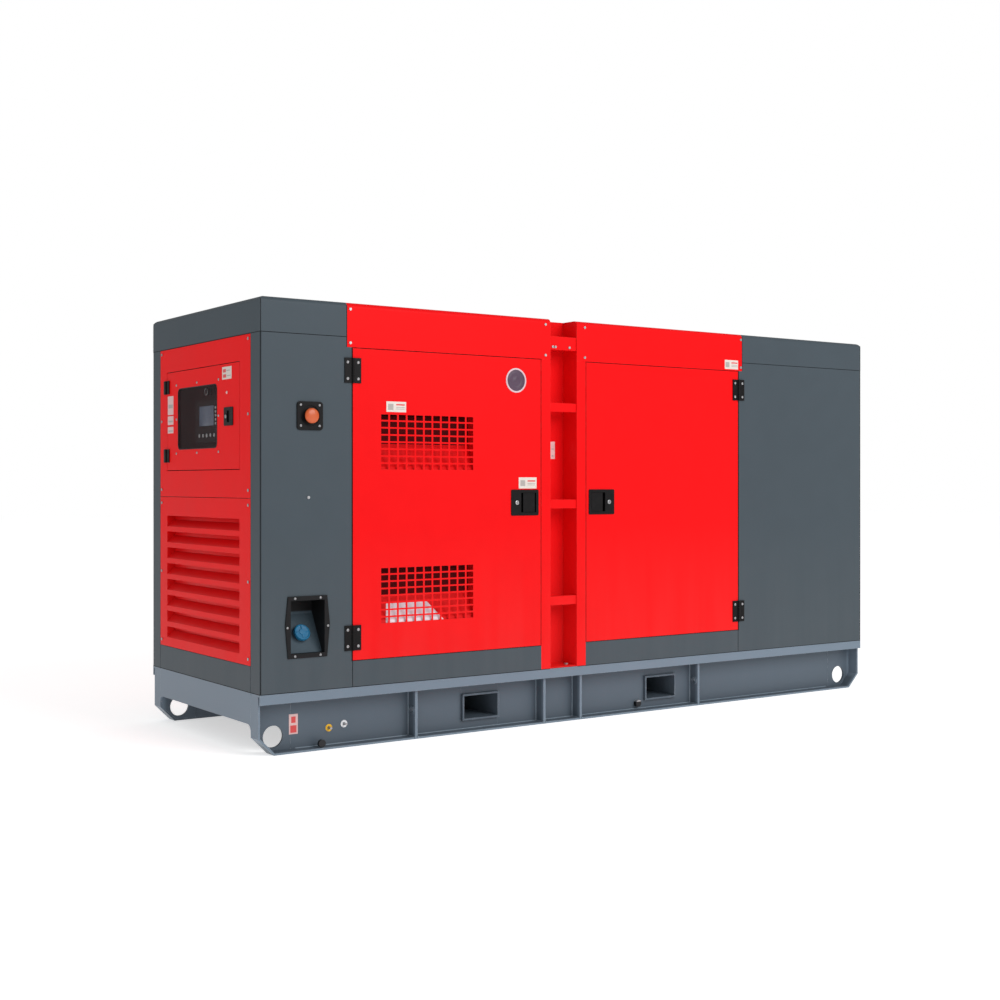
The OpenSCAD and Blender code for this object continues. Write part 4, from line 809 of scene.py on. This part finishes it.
hinge_z, latch_z, screw_x = (0.453, 1.559), 1.006, 0.0245
boards_z = ((0.388, 0.490), (0.760, 0.925), (1.400, 1.628), (1.088, 1.136))
grilles_z = ((0.492, 0.758), (1.138, 1.398))
for side, out in (("front", -1), ("rear", 1)):
    for end, hinge_x, latch_x, away in (("left", -1.3345, -0.461, 1), ("right", 0.8505, -0.023, -1)):
        body = f"{side}_{end}_door"
        heights = [z + dz for z in hinge_z for dz in (-0.034, 0.034)]
        screws(f"{body}_screws", body, (0, out, 0),
               [(hinge_x + away * screw_x, out * 0.580, z) for z in heights])
        screws(f"{side}_{end}_hinge_screws", "frame", (0, out, 0),
               [(hinge_x - away * screw_x, out * 0.580, z) for z in heights])
        lock_x, lock_y = latch_x - away * 0.044, out * 0.5785
        bm = bmesh.new()
        turned(bm, (lock_x, lock_y, latch_z), (0, out, 0),
               ((0, 0.0010), (0.0062, 0.0010), (0.0070, 0.0026), (0.0095, 0.0020), (0.0100, 0),
                (0.0100, -0.001), (0, -0.001)), 24)
        piece(f"{body}_lock", bm, body, "steel_bright", zinc)
        bm = bmesh.new()
        slab(bm, (lock_x - 0.0009, lock_y + out * 0.0008, latch_z - 0.0045),
             (lock_x + 0.0009, lock_y + out * 0.0014, latch_z + 0.0045), 0.0002)
        piece(f"{body}_key_slot", bm, body, "cabinet_black", black_cast)
        near_x, far_x = hinge_x + away * 0.026, hinge_x + away * 0.938
        blocks = [(near_x, far_x, *span) for span in boards_z]
        blocks.append((near_x, latch_x - away * 0.100, 0.927, 1.086))
        for span in grilles_z:
            if end == "left":
                blocks += [(near_x, -1.216, *span), (-0.722, far_x, *span)]
            else:
                blocks.append((near_x, far_x, *span))
        bm = bmesh.new()
        for x0, x1, z0, z1 in blocks:
            slab(bm, (x0, out * 0.5715, z0), (x1, out * 0.545, z1), 0.005)
        piece(f"{body}_lining", bm, body, "rubber_black", foam)
        bm = bmesh.new()
        loop(bm, (hinge_x + away * 0.016, 0, 0.3745), (hinge_x + away * 0.949, 0, 1.6375),
             0.006, 0.008, out * 0.5365, out * 0.5325, 1)
        piece(f"{body}_seal", bm, body, "rubber_black", seal_rubber)
        # A near black strip fills the gap round the door as painted shade.
        door_low, door_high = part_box(body)
        bm = bmesh.new()
        loop(bm, (door_low.x - 0.0004, 0, door_low.z - 0.0004),
             (door_high.x + 0.0004, 0, door_high.z + 0.0004),
             0.0010, 0.0022, out * 0.5746, out * 0.5640, 1)
        piece(f"{body}_gap_shade_strip", bm, "frame", "rubber_black", gap_shade)

# Air baffles: behind each grille a red sheet leans into the enclosure between two cheeks, so rain
# that blows in runs back out. A pale enamelled plate is riveted on the lowest one.

# A darker copy of the canopy red, as painted shade on the upright back sheets deep behind the grilles.
shaded_red = plain("baffle_shaded_red", (0.085, 0.004, 0.005), 0.7, 200, 0.0001, Specular_IOR_Level=0.05)
baffle_t = 0.0015


def leaning(bm, x0, x1, foot, top, out, lift=0.0):
    """Adds a sheet from x0 to x1 that leans from foot to top, each (distance from the middle, height)."""
    length = math.hypot(top[0] - foot[0], top[1] - foot[1])
    faces = slab(bm, (x0, -baffle_t / 2, 0), (x1, baffle_t / 2, length), 0.0004, 1)
    tilt = math.atan2(foot[0] - top[0], top[1] - foot[1]) * out
    verts = list({vert for face in faces for vert in face.verts})
    bmesh.ops.rotate(bm, verts=verts, cent=(0, 0, 0), matrix=Matrix.Rotation(tilt, 3, "X"))
    bmesh.ops.translate(bm, verts=verts, vec=(0, out * (foot[0] + lift), foot[1]))
    return verts


for side, out in (("front", -1), ("rear", 1)):
    body = f"{side}_left_door"
    for level, low_z, high_z in (("lower", 0.506, 0.737), ("upper", 1.151, 1.382)):
        fold_z = low_z + (high_z - low_z) * 0.47
        bm = bmesh.new()
        leaning(bm, -1.208, -0.7305, (0.5670, low_z - 0.008), (0.5215, fold_z), out)
        for x in (-1.2095, -0.7300):
            slab(bm, (x, out * 0.5150, low_z - 0.012), (x + baffle_t, out * 0.5715, high_z + 0.012),
                 0.0004, 1)
        piece(f"{side}_{level}_baffle", bm, body, "canopy_red", canopy_red)
        bm = bmesh.new()
        slab(bm, (-1.207, out * 0.5205, fold_z), (-0.7315, out * 0.5190, high_z - 0.002), 0.0004, 1)
        piece(f"{side}_{level}_baffle_top", bm, body, "canopy_red", shaded_red)

pale_enamel = plain("pale_enamel", (0.78, 0.70, 0.76), 0.45, 300, 0.0001)
plate_foot, plate_left, plate_right = 0.499, -1.173, -0.879
bm = bmesh.new()
plate = leaning(bm, plate_left, plate_right, (0.5670, plate_foot), (0.5330, 0.5835), -1, 0.0020)
highest = max(vert.co.z for vert in plate)
for vert in plate:
    rise = (vert.co.z - plate_foot) / (highest - plate_foot)
    vert.co.x += rise * (0.020 if vert.co.x < (plate_left + plate_right) / 2 else -0.072)
piece("baffle_plate", bm, "front_left_door", "battery_white", pale_enamel)

# Roof lining: three grey-black acoustic foam boards, cut from flat sheet and glued under the
# middle roof, with a narrow gap between them.

bm = bmesh.new()
for x0, x1 in ((-1.335, -0.335), (-0.325, -0.150), (-0.140, 0.850)):
    slab(bm, (x0, -0.440, 1.7745), (x1, 0.440, 1.7995), 0.006)
piece("roof_lining", bm, "frame", "rubber_black", foam)

# Stop button: an orange-red mushroom head on a yellow collar, in a square black bezel held by four
# screws; pushed in to stop the set and twisted to let it out.

amber = plain("stop_collar", (0.72, 0.40, 0.02), 0.4)
amber.on("stop_stem")
stop_orange = plain("stop_plastic", (0.50, 0.080, 0.010), 0.34, Coat_Weight=0.1)
stop_x, stop_z, stop_screw = -1.532, 1.366, 0.0055
bm = bmesh.new()
turned(bm, (stop_x, -0.5933, stop_z), (0, -1, 0),
       ((0, 0), (0.029, 0), (0.031, 0.002), (0.031, 0.0050), (0.0295, 0.0078), (0.0240, 0.0108),
        (0.0150, 0.0128), (0.0080, 0.0135), (0, 0.0137)), 48)
head = piece("stop_mushroom", bm, "stop_head", "stop_red", stop_orange)
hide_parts("stop_head")
screws("stop_screws", "frame", (0, -1, 0),
       [(x, -0.581, z) for x in (-1.574, -1.490) for z in (1.326, 1.410)], stop_screw)

# Fuel filler: a black moulded recess with six screws; its sloping floor is painted blue-grey, and
# a fluted blue cap with a vented plug closes the neck.

recess = Finish("recess_moulding", Specular_IOR_Level=0.15)
neck, cap_axis = Vector((-1.542, -0.5091, 0.4745)), Vector((0, -0.86504, 0.50172))
off_slope = ((recess.place.axis("Y") - neck.y) * cap_axis.y
             + (recess.place.axis("Z") - neck.z) * cap_axis.z)
aside = (abs(off_slope) * 300 - 1.1).clip()
scuff = recess.place.noise(30, 4)
floor_blue = scuff.between((0.050, 0.075, 0.095, 1), (0.062, 0.090, 0.112, 1))
mould_black = scuff.between((0.005, 0.005, 0.006, 1), (0.010, 0.010, 0.011, 1))
recess.lead(Base_Color=aside.between(floor_blue, mould_black), Roughness=(scuff * 0.2 + 0.36).clip())
recess.edges(0.0015)
recess.bump(recess.place.noise(700, 1), 0.00006)
recess.on("filler_recess")
bezel_screws = [(x, -0.580, z) for x, z in ((-1.599, 0.6275), (-1.485, 0.6275), (-1.633, 0.511),
                                            (-1.451, 0.511), (-1.599, 0.3945), (-1.485, 0.3945))]
screws("filler_screws", "frame", (0, -1, 0), bezel_screws, 0.0055)
cap_plastic = plain("cap_plastic", (0.012, 0.140, 0.280), 0.35, Specular_IOR_Level=0.3)
cap_plastic.on("cap_plug")
cap_foot = neck + cap_axis * 0.0103
cap_turn = Matrix.Translation(cap_foot) @ cap_axis.to_track_quat("Z", "Y").to_matrix().to_4x4()
bm = bmesh.new()
turned(bm, cap_foot, cap_axis,
       ((0, 0), (0.0350, 0), (0.0355, 0.0030), (0.0355, 0.0125), (0.0335, 0.0150), (0.0300, 0.0160),
        (0.0280, 0.0135), (0.0140, 0.0128), (0.0125, 0.0158), (0, 0.0160)), 72, 0.045)
for turn in (0, math.pi / 2):
    wing = slab(bm, (-0.027, -0.0022, 0.0110), (0.027, 0.0022, 0.0158), 0.0012)
    bmesh.ops.transform(bm, verts=list({vert for face in wing for vert in face.verts}),
                        matrix=cap_turn @ Matrix.Rotation(turn, 4, "Z"))
fluted = piece("fluted_cap", bm, "fuel_cap", "cap_blue", cap_plastic)
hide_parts("fuel_cap")

# Control panel: a smoked window in the small door shows the controller, its key switch and the
# main breaker on a folded black cabinet.

cabinet = plain("cabinet_enamel", (0.022, 0.004, 0.006), 0.45, 300, 0.00005, Specular_IOR_Level=0.1)
cabinet.on("control_box")
device = moulded("device_plastic", (0.007, 0.007, 0.009), 0.42, 700, 0.00005, 0.15)
device.on("controller", "breaker", "key_switch", "breaker_toggle")
glass = Finish("smoked_window", Specular_IOR_Level=0.14)
haze = glass.place.noise(9, 4)
glass.lead(Base_Color=haze.between((0.016, 0.003, 0.004, 1), (0.040, 0.008, 0.010, 1)),
           Roughness=(haze * 0.06 + 0.03).clip(), Alpha=(haze * 0.12 + 0.20).clip())
glass.edges(0.0008)
glass.bump(glass.place.noise(3, 2), 0.0002)
glass.on("control_window")
bm = bmesh.new()
loop(bm, (0, -0.151, 1.2445), (0, 0.273, 1.5095), 0.020, 0.0035, -1.7508, -1.7440, 0)
piece("window_gasket", bm, "control_door", "rubber_black", seal_rubber)
around = [(-end_x, y, z) for y in (-0.170, 0.061, 0.292) for z in (1.225, 1.377, 1.529)]
around.remove((-end_x, 0.061, 1.377))
screws("window_screws", "control_door", (-1, 0, 0), around, 0.0055)
# The screen glows: its emission is a painted highlight on its face.
glowing_screen = Finish("screen_painted_glow", Emission_Strength=0.25)
glow = glowing_screen.place.noise(14, 2)
glowing_screen.lead(Base_Color=glow.between((0.10, 0.14, 0.20, 1), (0.20, 0.25, 0.33, 1)),
            Roughness=(glow * 0.1 + 0.15).clip(),
            Emission_Color=glow.between((0.09, 0.12, 0.18, 1), (0.16, 0.20, 0.28, 1)))
glowing_screen.edges(0.0003)
glowing_screen.bump(glow, 0.00001)
bm = bmesh.new()
slab(bm, (-1.7090, -0.022, 1.342), (-1.7082, 0.134, 1.428), 0.0002)
piece("controller_screen", bm, "frame", "cabinet_black", glowing_screen)
keys = plain("key_white", (0.75, 0.76, 0.78), 0.4)
bm = bmesh.new()
for i in range(5):
    turned(bm, (-1.710, -0.030 + i * 0.040, 1.300), (-1, 0, 0),
           ((0, 0.0022), (0.006, 0.0020), (0.0085, 0.0008), (0.0085, -0.0005), (0, -0.0005)), 16)
for z in (1.345, 1.362, 1.379, 1.396, 1.413):
    slab(bm, (-1.7112, -0.052, z), (-1.7098, -0.040, z + 0.010), 0.0004)
piece("controller_keys", bm, "frame", "battery_white", keys)
bm = bmesh.new()
turned(bm, (-1.7085, 0.056, 1.490), (-1, 0, 0),
       ((0.0125, 0), (0.0165, 0), (0.0165, 0.002), (0.0140, 0.004), (0.0125, 0.003)), 32)
piece("switch_ring", bm, "frame", "steel_bright", zinc)
bm = bmesh.new()
turned(bm, (-end_x, -0.255, 1.470), (-1, 0, 0),
       ((0, 0.0040), (0.004, 0.0036), (0.0065, 0.0015), (0.0065, -0.0005), (0, -0.0005)), 20)
piece("panel_stud", bm, "control_door", "battery_white", vinyl_red_reflection)
bm = bmesh.new()
turned(bm, (-1.7532, -0.2482, 1.370), (-1, 0, 0),
       ((0, 0.0006), (0.0050, 0.0006), (0.0056, 0.0018), (0.0078, 0.0014), (0.0080, -0.0008),
        (0, -0.0008)), 24)
piece("control_lock", bm, "control_door", "steel_bright", zinc)

# Louvre baffle: one red sheet stands behind the inlet louvres, so the set draws its air round the
# sheet's sides and no light shows through.

sheet_foot, sheet_top = 0.360, 0.975
bm = bmesh.new()
slab(bm, (-1.7135, -0.415, sheet_foot), (-1.7115, 0.439, sheet_top), 0.0006)
for y in (-0.415, 0.437):
    slab(bm, (-1.7115, y, sheet_foot), (-1.6900, y + 0.002, sheet_top), 0.0006)
piece("louvre_baffle", bm, "frame", "canopy_red", canopy_red)

# Header ends: a tab folded from the header's own red sheet, with its outer corner rounded, closes
# the end of each door header above the ladder posts.

bm = bmesh.new()
for out in (-1, 1):
    for x in (-0.3196, -0.1668):
        tab = slab(bm, (x, out * 0.5725, 1.8170), (x + 0.0024, out * 0.4695, 1.8375))
        outer = [edge for face in tab for edge in face.edges
                 if all(vert.co.z > 1.83 and abs(vert.co.y) > 0.57 for vert in edge.verts)]
        bmesh.ops.bevel(bm, geom=list(set(outer)), offset=0.016, affect="EDGES", segments=5,
                        profile=0.5, material=-1)
piece("header_end_tabs", bm, "frame", "canopy_red", canopy_red)

# Seams: a bead of black sealant fills each joint between the grey sheets and lies on the line
# between the canopy and the base. Narrow near black strips on the grey sheets' edges beside the
# doors and at the ends of the headers are painted shade in the gaps there.

seam_and_gap_shade = plain("joint_sealant_and_gap_shade", (0.006, 0.006, 0.007), 0.6, Specular_IOR_Level=0.1)
sill_z, roof_z, end_seam_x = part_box("lower_panels")[0].z, 1.697, 1.7475
proud, sunk, half, trim = 0.0004, 0.001, 0.0013, 0.003
level_seams = ((-1.749, -1.3605, roof_z), (0.8765, 1.749, roof_z),
               (-1.749, -0.320, sill_z), (-0.164, 1.749, sill_z))
bm = bmesh.new()
for out in (-1, 1):
    inner, outer = out * (side_y - sunk), out * (side_y + proud)
    for x0, x1, z in level_seams:
        slab(bm, (x0, inner, z - half), (x1, outer, z + half))
    for x in (-1.3345, 0.8505):
        slab(bm, (x - half, inner, sill_z), (x + half, outer, 0.3565))
    # Painted shade: near black strips beside the doors and the header ends stand in for the shade in the
    # gaps.
    for x0, x1 in ((-1.3360, -1.3360 - trim), (0.8520, 0.8520 + trim)):
        for z0, z1 in ((0.3565, 0.4000), (0.5060, 1.5060), (1.6120, 1.6550)):
            slab(bm, (x0, inner, z0), (x1, outer, z1))
    for x0, x1 in ((-1.3600, -1.3600 - trim), (0.8760, 0.8760 + trim)):
        slab(bm, (x0, inner, 1.6550), (x1, outer, 1.8270))
    for x in (-end_seam_x, end_seam_x):
        slab(bm, (x - half, inner, sill_z), (x + half, outer, 1.828))
for end in (-1, 1):
    inner, outer = end * (end_x - sunk), end * (end_x + proud)
    for z in (sill_z, roof_z):
        slab(bm, (inner, -0.574, z - half), (outer, 0.574, z + half))
piece("sheet_seams", bm, "frame", "rubber_black", seam_and_gap_shade)
